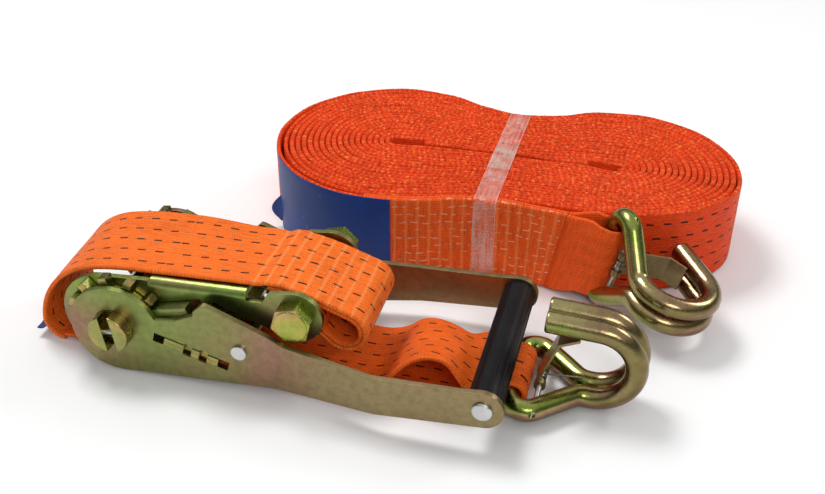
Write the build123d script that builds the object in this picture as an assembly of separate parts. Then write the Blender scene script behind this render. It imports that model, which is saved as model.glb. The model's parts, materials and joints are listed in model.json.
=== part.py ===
from build123d import *
import os
from math import acos, asin, atan2, cos, degrees, hypot, radians, sin, sqrt, tan

# A two-part ratchet tie down for 50 mm webbing, packed for sale.
# Millimetres, +Z up. The layout is drawn with the winding axis over x = 0, y = 0
# and the floor at z = 0. +X runs from the winding axis to the handle's grip, +Y to the
# coil of webbing behind. place() then moves everything so that the origin is the
# middle of the whole object's footprint, on the floor.

# ---- webbing ----
strap_width = 50.0
strap_thick = 2.3

# ---- stack of sheets across the ratchet, from the middle outwards ----
side_play = 2.0
frame_sheet = 3.0
wheel_play = 0.5
wheel_thick = 6.0
handle_play = 0.5
handle_sheet = 3.0
handle_flare = 9.0
running_clearance = 0.08
fixed_clearance = 0.1
seat_gap = 0.3

# ---- winding shaft and wheels ----
mandrel_radius = 10.5
mandrel_slot = 5.5
mandrel_slot_tilt = -8.0
mandrel_proud = 7.0
mandrel_pin_radius = 1.5
tooth_count = 12
wheel_tip_radius = 26.5
wheel_root_radius = 19.5
tooth_tip_share = 0.30
tooth_root_share = 0.50
floor_to_teeth = 0.5

# ---- frame, in its own tilted axes: u along, w up, winding axis at 0, 0 ----
frame_pitch = 2.5
frame_lobe_radius = 24.7
frame_lobe_u = -8.5
frame_lobe_w = -1.5
web_top = 24.0
web_start = 18.0
web_end = 69.0
web_bend_radius = 4.0
relief_depth = 5.0
relief_width = 8.0
bolt_u = 93.8
bolt_w = 12.8
bolt_lobe_radius = 13.5
frame_shoulder_u = 50.5
frame_shoulder_w = 16.5

# ---- anchor bolt ----
bolt_radius = 6.0
bolt_head_flats = 18.0
bolt_head_height = 7.5
nut_height = 10.0
bolt_end_proud = 2.5
sleeve_radius = 7.0

# ---- pawls ----
pawl_sheet = 2.25
pawl_seam = 0.1
pawl_slot_play = 0.3
engaged_tip = 21.3
drive_pawl_angle = -20.2
drive_pawl_offset = 4.4
drive_pawl_length = 29.0
drive_pawl_travel = 5.0
lock_pawl_angle = 12.0
lock_pawl_offset = 4.3
lock_pawl_length = 20.5
lock_pawl_travel = 5.0
tooth_gap_angle = -5.0
spring_wire = 1.2
spring_radius = 3.4
spring_curls = 6

# ---- handle, in its own tilted axes ----
handle_pitch = 4.5
ring_radius = 24.5
ring_u = 0.6
ring_w = -1.5
lip_u = 45.2
lip_w = 11.9
peak_u = 50.8
peak_w = 18.6
arm_start_u = 90.0
arm_start_w = -0.3
flare_start = 80.0
flare_end = 137.0
flare_bend_radius = 25.0
arm_mid_w = -6.8
grip_u = 188.0
grip_w = -18.3
arm_end_radius = 10.0
grip_radius = 8.8
grip_rod_radius = 4.0
grip_head_radius = 5.0
grip_head_height = 1.6
grip_ridges = 10
ridge_radius = 0.9
stop_bar_lift = 12.0
stop_bar_sheet = 3.0
stop_rivet_radius = 3.0
stop_head_radius = 3.9
stop_head_height = 1.4
notch_width = 4.2
notch_height = 7.4
notch_places = (39.4, 47.8)

# ---- double claw hooks ----
rod_radius = 5.5
rod_gap = 0.3
bar_spread = 50.5
bar_corner_radius = 7.5
hook_reach = 57.0
hook_bend_radius = 20.0
leg_run = 11.0
leg_bend_radius = 8.0
neck_bend_radius = 9.5
hook_neck = 32.0
prong_length = 26.0
tip_round = 1.2
eye_play = 0.25
latch_pin_radius = 1.5
latch_pin_x = 12.8
latch_pin_z = 1.5
latch_sheet = 1.4
latch_width = 15.0
latch_tip_x = 23.0
latch_spring_wire = 0.9
latch_spring_curls = 4

# ---- short strap ----
short_hook_x = 196.5
short_hook_droop = 3.0
eye_exit_angle = -43.4
eye_neck = 14.5
eye_tail = 7.0
loop_radius = 9.5
loop_turn = 203.0
loop_rise = 14.0
sewn_bend_radius = 100.0
sewn_bend_turn = 14.0
sewn_end_run = 12.0
kink_radius = 25.0
top_fall = 2.9
top_run = 44.0
bend_run = 14.0
shoulder_radius = 150.0
shoulder_turn = 10.0
side_radius = 42.0
side_turn = 71.5
lower_start_x = -15.0
tag_height = 7.0
tag_width = 12.0
hump_start_x = 122.0
hump_peak_x = 156.5
hump_height = 16.3
dip_x = 181.0
dip_height = 11.6
dip_radius = 16.0
eye_waist = 35.0

# ---- coil of the long strap ----
coil_x = 160.0
coil_front_y = 83.88
coil_turns = 19
coil_pitch = 3.64
coil_first_radius = 4.1
lobe_spread = 67.0
waist_dip = 5.0
waist_pinch = 0.78
front_dip = 0.4
front_dent_x = 10.0
corner_share = 0.72
sewn_gap = 0.15
tape_width = 13.0
tape_thick = 0.4
tape_gap = 0.05
label_thick = 0.3
label_wrap = 58.0
label_run = 16.0
long_hook_x = 229.0
long_hook_y = 86.5
long_eye_slack = 1.6
long_eye_bend = 60.0
long_hook_turn = -53.0
long_bar_lean = 14.0
long_hook_tail = 26.0

# ---- worked out from the above ----
half_strap = strap_width / 2
frame_inner = half_strap + side_play
frame_outer = frame_inner + frame_sheet
wheel_inner = frame_outer + wheel_play
wheel_outer = wheel_inner + wheel_thick
handle_inner = wheel_outer + handle_play
handle_outer = handle_inner + handle_sheet
grip_half = handle_inner + handle_flare
mandrel_half_length = handle_outer + mandrel_proud
axis_height = wheel_tip_radius + floor_to_teeth
pawl_thick = 2 * pawl_sheet + pawl_seam
rod_centre = rod_radius + rod_gap / 2
eye_radius = rod_radius + eye_play + strap_thick / 2
short_hook_z = strap_thick / 2 + eye_radius
coil_y = coil_front_y + coil_first_radius + coil_pitch * (coil_turns - 1)
coil_bottom = tape_thick + tape_gap
long_hook_z = bar_spread / 2 + rod_radius + leg_run * sin(radians(long_bar_lean)) + seat_gap


class Route:
    """A flat route of runs and arcs that meet smoothly, walked from a point."""

    def __init__(self, x, y, heading):
        self.x, self.y, self.heading = x, y, heading
        self.steps = []

    def ahead(self, length):
        start = (self.x, self.y, self.heading)
        self.x += length * cos(radians(self.heading))
        self.y += length * sin(radians(self.heading))
        self.steps.append((start, None, (self.x, self.y, self.heading)))
        return self

    def turn(self, radius, angle):
        """An arc, to the left for a positive angle."""
        side = 1 if angle > 0 else -1
        start = (self.x, self.y, self.heading)
        away = radians(self.heading + 90 * side)
        middle_x = self.x + radius * cos(away)
        middle_y = self.y + radius * sin(away)
        stops = []
        for share in (0.5, 1.0):
            bearing = radians(self.heading - 90 * side + angle * share)
            place_x = middle_x + radius * cos(bearing)
            place_y = middle_y + radius * sin(bearing)
            stops.append((place_x, place_y, self.heading + angle * share))
        self.x, self.y, self.heading = stops[1]
        self.steps.append((start, stops[0], stops[1]))
        return self

    def quarter(self, along, across, last):
        """A quarter turn to the left by two arcs, the second of the radius last."""
        if abs(along - across) < 0.01:
            return self.turn(along, 90)
        first = (along**2 + across**2 - 2 * along * last) / (2 * (across - last))
        spread = first - last
        share = degrees(atan2((along - last) / spread, (first - across) / spread))
        self.turn(first, share)
        return self.turn(last, 90 - share)

    def jog(self, along, across, radius):
        """Out by across over a length of along, by two arcs and the run between."""
        side = 1 if across > 0 else -1
        reach = hypot(along, 2 * radius - abs(across))
        swing = asin(2 * radius / reach) - atan2(2 * radius - abs(across), along)
        run = (along - 2 * radius * sin(swing)) / cos(swing)
        self.turn(radius, side * degrees(swing))
        self.ahead(run)
        return self.turn(radius, -side * degrees(swing))

    def sway(self, along, across):
        """Out by across over a length of along, by two equal arcs."""
        if abs(across) < 0.05:
            return self.ahead(along)
        swing = degrees(2 * atan2(abs(across), along))
        radius = (along**2 + across**2) / (4 * abs(across))
        side = 1 if across > 0 else -1
        self.turn(radius, side * swing)
        return self.turn(radius, -side * swing)

    def length(self):
        total = 0.0
        for start, middle, end in self.steps:
            chord = hypot(end[0] - start[0], end[1] - start[1])
            bend = radians(abs(end[2] - start[2]))
            total += chord if middle is None else chord * (bend / 2) / sin(bend / 2)
        return total

    def side_edges(self, offset):
        """The route's edges, moved sideways: to the left for a positive offset."""
        edges = []
        for start, middle, end in self.steps:
            corners = [sideways(stop, offset) for stop in (start, middle, end) if stop]
            if middle is None:
                edges.append(Edge.make_line(corners[0], corners[1]))
            else:
                edges.append(Edge.make_three_point_arc(*corners))
        return edges

    def samples(self, spacing):
        """Points along the route, for measuring."""
        places = []
        for start, middle, end in self.steps:
            chord = hypot(end[0] - start[0], end[1] - start[1])
            count = max(2, int(chord / spacing))
            if middle is None:
                for i in range(count):
                    share = i / count
                    places.append((start[0] + share * (end[0] - start[0]),
                                   start[1] + share * (end[1] - start[1])))
                continue
            bend = radians(end[2] - start[2])
            radius = chord / (2 * sin(abs(bend) / 2))
            side = 1 if bend > 0 else -1
            away = radians(start[2] + 90 * side)
            middle_x = start[0] + radius * cos(away)
            middle_y = start[1] + radius * sin(away)
            for i in range(count):
                bearing = radians(start[2] - 90 * side) + bend * i / count
                places.append((middle_x + radius * cos(bearing),
                               middle_y + radius * sin(bearing)))
        return places


def sideways(stop, offset):
    left = radians(stop[2] + 90)
    return Vector(stop[0] + offset * cos(left), stop[1] + offset * sin(left), 0)


def band_face(route, left, right):
    """The flat area between two lines beside a route."""
    upper = route.side_edges(left)
    lower = route.side_edges(right)
    caps = [Edge.make_line(upper[0] @ 0, lower[0] @ 0),
            Edge.make_line(upper[-1] @ 1, lower[-1] @ 1)]
    return Face(Wire(upper + caps + lower))


def area(*corners):
    """A flat area, whichever way round its corners are given."""
    after = corners[1:] + corners[:1]
    twice = sum(a[0] * b[1] - b[0] * a[1] for a, b in zip(corners, after))
    return Polygon(*(corners if twice > 0 else corners[::-1]), align=None)


def rise(face, height):
    """A flat shape drawn on the ground, raised straight up."""
    return extrude(face, amount=height, dir=(0, 0, 1))


def band(route, height, left=strap_thick / 2, right=-strap_thick / 2):
    return rise(band_face(route, left, right), height)


def crosswise(shape, width):
    """Stands a shape drawn flat upright, so that its height runs along Y, centred."""
    return Pos(0, width / 2, 0) * (Rot(90, 0, 0) * shape)


def slab(face, low, high):
    """An upright slab of a side view between two distances along Y."""
    return Pos(0, high, 0) * (Rot(90, 0, 0) * rise(face, high - low))


def both_sides(shape):
    return shape + mirror(shape, about=Plane.XZ)


def cylinder_y(radius, low, high):
    return Pos(0, (low + high) / 2, 0) * (Rot(90, 0, 0) * Cylinder(radius, high - low))


def on_frame(shape):
    """From the frame's tilted axes to the layout."""
    return Pos(0, 0, axis_height) * (Rot(0, -frame_pitch, 0) * shape)


def on_handle(shape):
    return Pos(0, 0, axis_height) * (Rot(0, -handle_pitch, 0) * shape)


def tilted_point(u, w, pitch):
    return (u * cos(radians(pitch)) - w * sin(radians(pitch)),
            axis_height + u * sin(radians(pitch)) + w * cos(radians(pitch)))


def tooth_fit(shape, angle):
    """Turns a shape about the winding axis, in the layout's own directions."""
    return Rot(0, -angle, 0) * shape


# ------------------------------------------------------------------ frame

def pawl_frame(angle, offset):
    """A location on a pawl's line: x runs outwards along it, z across its thickness."""
    foot_u = -offset * sin(radians(angle))
    foot_w = offset * cos(radians(angle))
    return Pos(foot_u, 0, foot_w) * Rot(0, -angle, 0)


lock_line = pawl_frame(lock_pawl_angle, lock_pawl_offset)
drive_line = pawl_frame(drive_pawl_angle, drive_pawl_offset)


def frame_outline():
    """Side view of a frame plate, with its bottom edge hidden by the handle."""
    lobe = Pos(frame_lobe_u, frame_lobe_w) * Circle(frame_lobe_radius)
    bolt_lobe = Pos(bolt_u, bolt_w) * Circle(bolt_lobe_radius)
    lobe_top = frame_lobe_w + frame_lobe_radius
    lobe_low = frame_lobe_w - frame_lobe_radius
    lobe_foot_u = frame_lobe_u + frame_lobe_radius * sin(radians(58))
    lobe_foot_w = frame_lobe_w - frame_lobe_radius * cos(radians(58))
    bolt_low_u = bolt_u - bolt_lobe_radius * sin(radians(24))
    bolt_low_w = bolt_w - bolt_lobe_radius * cos(radians(24))
    body = area(
        (frame_lobe_u, lobe_top),
        (frame_lobe_u, lobe_low + frame_lobe_radius),
        (lobe_foot_u, lobe_foot_w),
        (web_start + 6, -2.5),
        (web_start + 15, 0.5),
        (frame_shoulder_u - 4, 3.0),
        (frame_shoulder_u, frame_shoulder_w),
        (bolt_low_u, bolt_low_w),
        (bolt_u, bolt_w + bolt_lobe_radius),
        (web_end + relief_width + 4, bolt_w + bolt_lobe_radius - 1.2),
        (web_end + relief_width, web_top - relief_depth),
        (web_end, web_top - relief_depth),
        (web_end, web_top),
        (web_start, web_top),
    )
    return lobe + bolt_lobe + body


def lock_slot():
    """Cut through both frame plates for the locking pawl and its travel."""
    low = engaged_tip + 3.0
    high = engaged_tip + lock_pawl_length + lock_pawl_travel + pawl_slot_play
    height = pawl_thick + 2 * pawl_slot_play
    cut = Box(high - low, 3 * frame_outer, height)
    return lock_line * (Pos((low + high) / 2, 0, 0) * cut)


def make_base_frame():
    plate = both_sides(slab(frame_outline(), -frame_outer, -frame_inner))
    channel = Rectangle(2 * frame_outer, 3 * web_top)
    outside = fillet(channel.vertices().sort_by(Axis.Y)[-2:], web_bend_radius)
    inside = Pos(0, -frame_sheet) * Rectangle(2 * frame_inner, 3 * web_top)
    section = outside - inside
    web_strip = Plane.YZ * rise(section, web_end - web_start)
    web_strip = Pos(web_start, 0, web_top - 1.5 * web_top) * web_strip
    keep = Box(web_end - web_start, 3 * frame_outer, frame_sheet + web_bend_radius,
               align=(Align.MIN, Align.CENTER, Align.MAX))
    web = web_strip & (Pos(web_start, 0, web_top) * keep)
    corner_cut = Pos(web_start, 0, web_top) * keep
    plate = plate - corner_cut
    seat_u = (lock_line * Pos(engaged_tip + lock_pawl_length, 0, 0)).position.X
    tab_u = seat_u + 15.0
    tab = Box(frame_sheet, 14.0, 13.0, align=(Align.MIN, Align.CENTER, Align.MAX))
    seat = Pos(tab_u, 0, web_top - frame_sheet) * tab
    frame = plate + web + seat
    bore = cylinder_y(mandrel_radius + running_clearance, -2 * frame_outer, 2 * frame_outer)
    bolt_bore = cylinder_y(bolt_radius + fixed_clearance, -2 * frame_outer, 2 * frame_outer)
    frame = frame - bore - Pos(bolt_u, 0, bolt_w) * bolt_bore - lock_slot()
    return on_frame(frame)


def at_bolt(shape):
    return on_frame(Pos(bolt_u, 0, bolt_w) * shape)


def hex_prism(flats, low, high):
    face = Rot(0, 0, 12) * RegularPolygon(flats / sqrt(3), 6)
    solid = slab(face, low, high)
    cone = cylinder_y(flats / sqrt(3) * 0.985, low - 1, high + 1)
    return solid & cone


def make_anchor_bolt():
    head = hex_prism(bolt_head_flats, -frame_outer - bolt_head_height, -frame_outer)
    disc = cylinder_y(bolt_head_flats / 2 - 0.6, -frame_outer - bolt_head_height - 0.4,
                      -frame_outer - bolt_head_height)
    shank = cylinder_y(bolt_radius, -frame_outer, frame_outer + nut_height + bolt_end_proud)
    return at_bolt(head + disc + shank)


def make_anchor_nut():
    nut = hex_prism(bolt_head_flats, frame_outer, frame_outer + nut_height)
    hole = cylinder_y(bolt_radius + fixed_clearance, 0, 2 * frame_outer)
    return at_bolt(nut - hole)


def make_anchor_sleeve():
    reach = frame_inner - seat_gap
    tube = cylinder_y(sleeve_radius, -reach, reach)
    hole = cylinder_y(bolt_radius + fixed_clearance, -reach - 1, reach + 1)
    return at_bolt(tube - hole)


def pawl_plate(inner_tip, outer_tip, rear, step_half, width_half):
    """Plan of a pawl: tips at the sides, a middle that stands back from the shaft."""
    return area(
        (outer_tip, width_half), (outer_tip, step_half), (inner_tip, step_half),
        (inner_tip, -step_half), (outer_tip, -step_half), (outer_tip, -width_half),
        (rear, -width_half), (rear, width_half))


def laminated(plan):
    lower = Pos(0, 0, -pawl_thick / 2) * rise(plan, pawl_sheet)
    upper = Pos(0, 0, pawl_thick / 2 - pawl_sheet) * rise(plan, pawl_sheet)
    return [lower, upper]


def make_lock_pawl():
    rear = engaged_tip + lock_pawl_length
    plan = pawl_plate(engaged_tip + 4.5, engaged_tip, rear,
                      frame_outer + seat_gap, handle_inner - seat_gap)
    return [on_frame(lock_line * sheet) for sheet in laminated(plan)]


def coil_spring(length, radius, wire, curls):
    """A helical spring along +Z with flat-lying ends."""
    pitch = (length - wire) / curls
    path = Helix(pitch=pitch, height=pitch * curls, radius=radius)
    start = path @ 0
    section = Plane(origin=start, x_dir=(1, 0, 0), z_dir=path % 0) * Circle(wire / 2)
    spring = sweep(section, path=path)
    return Pos(0, 0, wire / 2) * spring


def make_lock_spring():
    rear = engaged_tip + lock_pawl_length
    tip = lock_line * Pos(rear, 0, 0)
    gap = 15.0 / cos(radians(lock_pawl_angle))
    length = gap - 3 * seat_gap - spring_radius * 2 * tan(radians(lock_pawl_angle))
    spring = coil_spring(length, spring_radius - spring_wire / 2, spring_wire, spring_curls)
    return on_frame(tip * Pos(seat_gap, 0, 0) * (Rot(0, 90, 0) * spring))


# ------------------------------------------------------------------ winding shaft

def slot_turn(shape):
    return Rot(0, mandrel_slot_tilt, 0) * shape


def at_axis(shape):
    return Pos(0, 0, axis_height) * shape


def make_mandrel_half(side):
    """One half-round bar, on the side of +X or -X of the webbing slot."""
    bar = cylinder_y(mandrel_radius, -mandrel_half_length, mandrel_half_length)
    keep = Box(mandrel_radius, 3 * mandrel_half_length, 3 * mandrel_radius,
               align=(Align.MIN, Align.CENTER, Align.CENTER))
    half = bar & (Pos(mandrel_slot / 2, 0, 0) * keep)
    half = fillet(half.faces().filter_by(Axis.Y).edges(), 0.6)
    if side < 0:
        half = mirror(half, about=Plane.YZ)
    for y in (-mandrel_pin_y(), mandrel_pin_y()):
        hole = Pos(0, y, 0) * (Rot(0, 90, 0) * Cylinder(mandrel_pin_radius, 60))
        half = half - hole
    return at_axis(slot_turn(half))


def mandrel_pin_y():
    return handle_outer + mandrel_proud / 2


def make_mandrel_pins():
    pins = []
    for y in (-mandrel_pin_y(), mandrel_pin_y()):
        length = 2 * mandrel_radius - 3.0
        pin = Pos(0, y, 0) * (Rot(0, 90, 0) * Cylinder(mandrel_pin_radius - 0.05, length))
        pins.append(at_axis(slot_turn(pin)))
    return pins


def wheel_face():
    """Toothed wheel with two half-round holes, so that it turns with the shaft."""
    pitch = 360 / tooth_count
    corners = []
    for i in range(tooth_count):
        middle = tooth_gap_angle + pitch * (i + 0.5)
        for radius, share, side in ((wheel_root_radius, tooth_root_share, -1),
                                    (wheel_tip_radius, tooth_tip_share, -1),
                                    (wheel_tip_radius, tooth_tip_share, 1),
                                    (wheel_root_radius, tooth_root_share, 1)):
            bearing = radians(middle + side * share * pitch / 2)
            corners.append((radius * cos(bearing), radius * sin(bearing)))
    return area(*corners)


def make_wheel(side):
    disc = slab(wheel_face(), wheel_inner, wheel_outer)
    hole = cylinder_y(mandrel_radius + running_clearance, 0, 2 * wheel_outer)
    bridge = Box(mandrel_slot - 2 * running_clearance, 4 * wheel_outer, 4 * mandrel_radius)
    hole = slot_turn(hole - bridge)
    wheel = disc - hole
    if side < 0:
        wheel = mirror(wheel, about=Plane.XZ)
    return at_axis(wheel)


# ------------------------------------------------------------------ handle

def handle_outline():
    ring = Pos(ring_u, ring_w) * Circle(ring_radius)
    end = Pos(grip_u, grip_w) * Circle(arm_end_radius)
    ring_low = ring_w - ring_radius
    end_low = grip_w - arm_end_radius
    side_w = 7.0
    side_u = ring_u + sqrt(ring_radius**2 - (side_w - ring_w) ** 2)
    body = area(
        (ring_u, ring_w), (side_u, side_w), ((side_u + lip_u) / 2, side_w + 0.8),
        (lip_u, lip_w), (lip_u + 0.6, lip_w + 2.6), (peak_u - 1.2, peak_w - 1.0),
        (peak_u, peak_w), (peak_u + 1.8, peak_w - 0.4),
        (arm_start_u, arm_start_w), (flare_end, arm_mid_w),
        (grip_u - 10, grip_w + arm_end_radius - 0.2), (grip_u, grip_w + arm_end_radius),
        (grip_u, end_low), (flare_end, end_low + 0.2), (ring_u + 6, ring_low),
        (ring_u, ring_low),
    )
    return ring + end + body


def drive_slot():
    low = engaged_tip - seat_gap
    high = engaged_tip + drive_pawl_rest + drive_pawl_length + drive_pawl_travel + 0.5
    slot = Box(high - low, 4 * grip_half, pawl_thick + 2 * pawl_slot_play)
    return Pos((low + high) / 2, 0, 0) * slot


def pawl_notches(height):
    cut = Box(notch_width, 4 * grip_half, height)
    return [Pos(place, 0, 0) * cut for place in notch_places]


drive_pawl_rest = wheel_tip_radius + seat_gap - engaged_tip


def make_handle_plate(side):
    """An arm: ring, pawl slot, jogged flare and rounded end."""
    profile = slab(handle_outline(), -2 * grip_half, 2 * grip_half)
    plan = Route(-2 * ring_radius, handle_inner + handle_sheet / 2, 0)
    plan.ahead(flare_start + 2 * ring_radius)
    plan.jog(flare_end - flare_start, handle_flare, flare_bend_radius)
    plan.ahead(grip_u - flare_end + 2 * arm_end_radius)
    sheet = Pos(0, 0, -2 * ring_radius) * band(plan, 4 * ring_radius,
                                               handle_sheet / 2, -handle_sheet / 2)
    plate = profile & sheet
    plate = plate - cylinder_y(mandrel_radius + running_clearance, 0, 2 * grip_half)
    cuts = [drive_slot()] + pawl_notches(notch_height)
    for cut in cuts:
        plate = plate - drive_line * cut
    rod_hole = cylinder_y(grip_rod_radius + fixed_clearance, 0, 2 * grip_half)
    plate = plate - Pos(grip_u, 0, grip_w) * rod_hole
    rivet_hole = cylinder_y(stop_rivet_radius + fixed_clearance, 0, 2 * grip_half)
    plate = plate - stop_place() * rivet_hole
    if side < 0:
        plate = mirror(plate, about=Plane.XZ)
    return on_handle(plate)


def stop_place():
    """Where the riveted bar behind the drive pawl crosses the handle."""
    reach = engaged_tip + drive_pawl_rest + drive_pawl_length + drive_pawl_travel
    return drive_line * Pos(reach + stop_bar_sheet + 1.0, 0, stop_bar_lift)


def make_stop_bar():
    inner = handle_inner - seat_gap
    plate = Box(stop_bar_sheet, 2 * inner, stop_bar_lift + 2.5,
                align=(Align.CENTER, Align.CENTER, Align.MAX))
    bar = Pos(0, 0, 3.2) * plate
    tenon = cylinder_y(stop_rivet_radius, inner - 1, handle_outer)
    head = cylinder_y(stop_head_radius, handle_outer, handle_outer + stop_head_height)
    ends = both_sides(tenon + head)
    centre = cylinder_y(stop_rivet_radius + 0.4, -inner, inner)
    return on_handle(stop_place() * (bar + centre + ends))


def make_drive_pawl():
    tip = engaged_tip + drive_pawl_rest
    rear = tip + drive_pawl_length
    lobe_reach = hypot(frame_lobe_u, frame_lobe_w) + frame_lobe_radius
    inner_tip = lobe_reach + 1.0
    plan = pawl_plate(inner_tip, tip, rear, frame_outer + seat_gap, handle_outer + 0.4)
    sheets = laminated(plan)
    notched = []
    for sheet in sheets:
        for place in notch_places:
            bite = Box(notch_width, handle_sheet + 1.5, 3 * pawl_thick)
            for y in (-handle_outer, handle_outer):
                sheet = sheet - Pos(place, y, 0) * bite
        notched.append(on_handle(drive_line * sheet))
    return notched


def make_drive_springs():
    rear = engaged_tip + drive_pawl_rest + drive_pawl_length
    face = (drive_line.inverse() * stop_place()).position.X - stop_bar_sheet / 2
    length = face - rear - 2 * seat_gap
    springs = []
    for y in (-14.0, 14.0):
        spring = coil_spring(length, spring_radius - spring_wire / 2, spring_wire, 4)
        place = drive_line * Pos(rear + seat_gap, y, 0)
        springs.append(on_handle(place * (Rot(0, 90, 0) * spring)))
    return springs


def make_grip_sleeve():
    reach = grip_half - seat_gap
    outline = Circle(grip_radius - ridge_radius / 2)
    for i in range(grip_ridges):
        bearing = radians(360 / grip_ridges * i)
        centre = grip_radius - ridge_radius
        outline += Pos(centre * cos(bearing), centre * sin(bearing)) * Circle(ridge_radius)
    outline -= Circle(grip_rod_radius + fixed_clearance)
    tube = slab(outline, -reach, reach)
    return on_handle(Pos(grip_u, 0, grip_w) * tube)


def make_grip_rivet():
    plate_face = grip_half + handle_sheet
    rod = cylinder_y(grip_rod_radius, -plate_face, plate_face)
    head = cylinder_y(grip_head_radius, plate_face, plate_face + grip_head_height)
    head = fillet(head.edges().sort_by(Axis.Y)[-1], grip_head_height * 0.6)
    return on_handle(Pos(grip_u, 0, grip_w) * (rod + both_sides(head)))


# ------------------------------------------------------------------ hooks

def hook_path():
    """Centre line of a double claw hook: bar along Y at 0, throat open towards +Z."""
    bend_x = hook_reach - hook_bend_radius
    half = bar_spread / 2
    top = 2 * hook_bend_radius
    legs = FilletPolyline(
        (bend_x, -rod_centre, 0), (hook_neck, -rod_centre, 0), (leg_run, -half, 0),
        (0, -half, 0), (0, half, 0), (leg_run, half, 0),
        (hook_neck, rod_centre, 0), (bend_x, rod_centre, 0),
        radius=[neck_bend_radius, leg_bend_radius, bar_corner_radius,
                bar_corner_radius, leg_bend_radius, neck_bend_radius])
    pieces = [legs]
    for y in (-rod_centre, rod_centre):
        bend = ThreePointArc((bend_x, y, 0), (hook_reach, y, hook_bend_radius),
                             (bend_x, y, top))
        prong = Line((bend_x, y, top), (bend_x - prong_length, y, top))
        pieces += [bend, prong]
    return Wire([edge for piece in pieces for edge in piece.edges()])


def hook_solid():
    path = hook_path()
    start = path @ 0
    section = Plane(origin=start, z_dir=path % 0) * Circle(rod_radius)
    rod = sweep(section, path=path)
    ends = rod.faces().filter_by(GeomType.PLANE)
    rod = fillet(ends.edges(), tip_round)
    hole = Rot(90, 0, 0) * Cylinder(latch_pin_radius + 0.05, 2 * bar_spread)
    return rod - Pos(latch_pin_x, 0, latch_pin_z) * hole


def leg_half_width():
    """Distance of a leg's outer side from the middle, where the latch pin crosses."""
    share = (latch_pin_x - leg_run) / (hook_neck - leg_run)
    centre = bar_spread / 2 + (rod_centre - bar_spread / 2) * share
    return centre + rod_radius


def latch_pin_solid():
    reach = leg_half_width() - 1.0
    pin = cylinder_y(latch_pin_radius, -reach, reach)
    return Pos(latch_pin_x, 0, latch_pin_z) * pin


def latch_solid():
    """Bent sheet tongue on two eyes that turn on the pin."""
    tip_z = 2 * hook_bend_radius - rod_radius - seat_gap - latch_sheet
    eye = cylinder_y(latch_pin_radius + latch_sheet, -latch_width / 2, latch_width / 2)
    lean = degrees(atan2(tip_z - latch_pin_z, latch_tip_x - latch_pin_x))
    run = hypot(tip_z - latch_pin_z, latch_tip_x - latch_pin_x) - 6.5
    tongue = Box(run, latch_width, latch_sheet, align=(Align.MIN, Align.CENTER, Align.CENTER))
    tongue = Rot(0, -lean, 0) * (Pos(1.0, 0, latch_pin_radius + latch_sheet / 2) * tongue)
    nose_x = run * cos(radians(lean)) - 2.4
    nose_z = run * sin(radians(lean)) + 1.2
    nose = Box(11.0, latch_width, latch_sheet, align=(Align.MIN, Align.CENTER, Align.CENTER))
    nose = Pos(nose_x, 0, nose_z) * (Rot(0, -28, 0) * nose)
    latch = eye + tongue + nose
    middle = Box(30, 8.4, 2 * latch_pin_radius + 3 * latch_sheet)
    latch = latch - middle
    hole = cylinder_y(latch_pin_radius + running_clearance, -30, 30)
    return Pos(latch_pin_x, 0, latch_pin_z) * (latch - hole)


def latch_spring_solid():
    """Torsion spring on the pin, with a leg that reaches the neck of the hook."""
    radius = latch_pin_radius + latch_spring_wire / 2 + 0.15
    pitch = latch_spring_wire * 1.25
    height = pitch * latch_spring_curls
    coil = Helix(pitch=pitch, height=height, radius=radius)
    section = Plane(origin=coil @ 0, z_dir=coil % 0) * Circle(latch_spring_wire / 2)
    turns = Pos(0, height / 2, 0) * (Rot(90, 0, 0) * sweep(section, path=coil))
    neck_z = rod_radius + seat_gap + latch_spring_wire / 2 - latch_pin_z
    neck_x = hook_neck - latch_pin_x
    reach = hypot(neck_x, neck_z - radius)
    leg = Cylinder(latch_spring_wire / 2, reach,
                   align=(Align.CENTER, Align.CENTER, Align.MIN))
    slope = degrees(atan2(neck_x, neck_z - radius))
    leg = Pos(0, 0, radius) * (Rot(0, slope, 0) * leg)
    return Pos(latch_pin_x, 0, latch_pin_z) * (turns + leg)


hook_parts = {"hook": hook_solid, "hook_latch_pin": latch_pin_solid,
              "hook_latch": latch_solid, "hook_latch_spring": latch_spring_solid}


def make_short_hook_place():
    return Pos(short_hook_x, 0, short_hook_z) * Rot(0, short_hook_droop, 0)


def long_neck_swing():
    """How far the sewn end turns towards the viewer to meet the hook's bar."""
    along = long_hook_x - long_neck_start().X
    across = long_eye_bend - (long_neck_start().Y - long_hook_y)
    reach = hypot(along, across)
    swing = degrees(atan2(along, across) - acos(long_eye_bend / reach))
    return swing, sqrt(reach**2 - long_eye_bend**2)


def long_neck_start():
    """Where the sewn end leaves the coil's face: the middle of the waist in front."""
    depth = front_dip + waist_pinch * (coil_turns - 1)
    offset = 1.5 * strap_thick + sewn_gap
    face_y = coil_y - lobe_radius(coil_turns - 1) + depth - offset
    return Vector(coil_x + front_dent_x, face_y, 0)


def long_bar_direction():
    """Along the long hook's bar, which leans with the eye in the webbing's plane."""
    swing = radians(long_neck_swing()[0])
    lean = radians(long_bar_lean)
    return Vector(sin(lean) * cos(swing), -sin(lean) * sin(swing), cos(lean))


def make_long_hook_place():
    bar = long_bar_direction()
    turn = radians(long_hook_turn)
    level = Vector(cos(turn), sin(turn), 0)
    forward = (level - bar * level.dot(bar)).normalized()
    return Plane(origin=(long_hook_x, long_hook_y, long_hook_z), x_dir=forward,
                 z_dir=bar.cross(forward))


# ------------------------------------------------------------------ short strap

bolt_x, bolt_z = tilted_point(bolt_u, bolt_w, frame_pitch)


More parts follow.
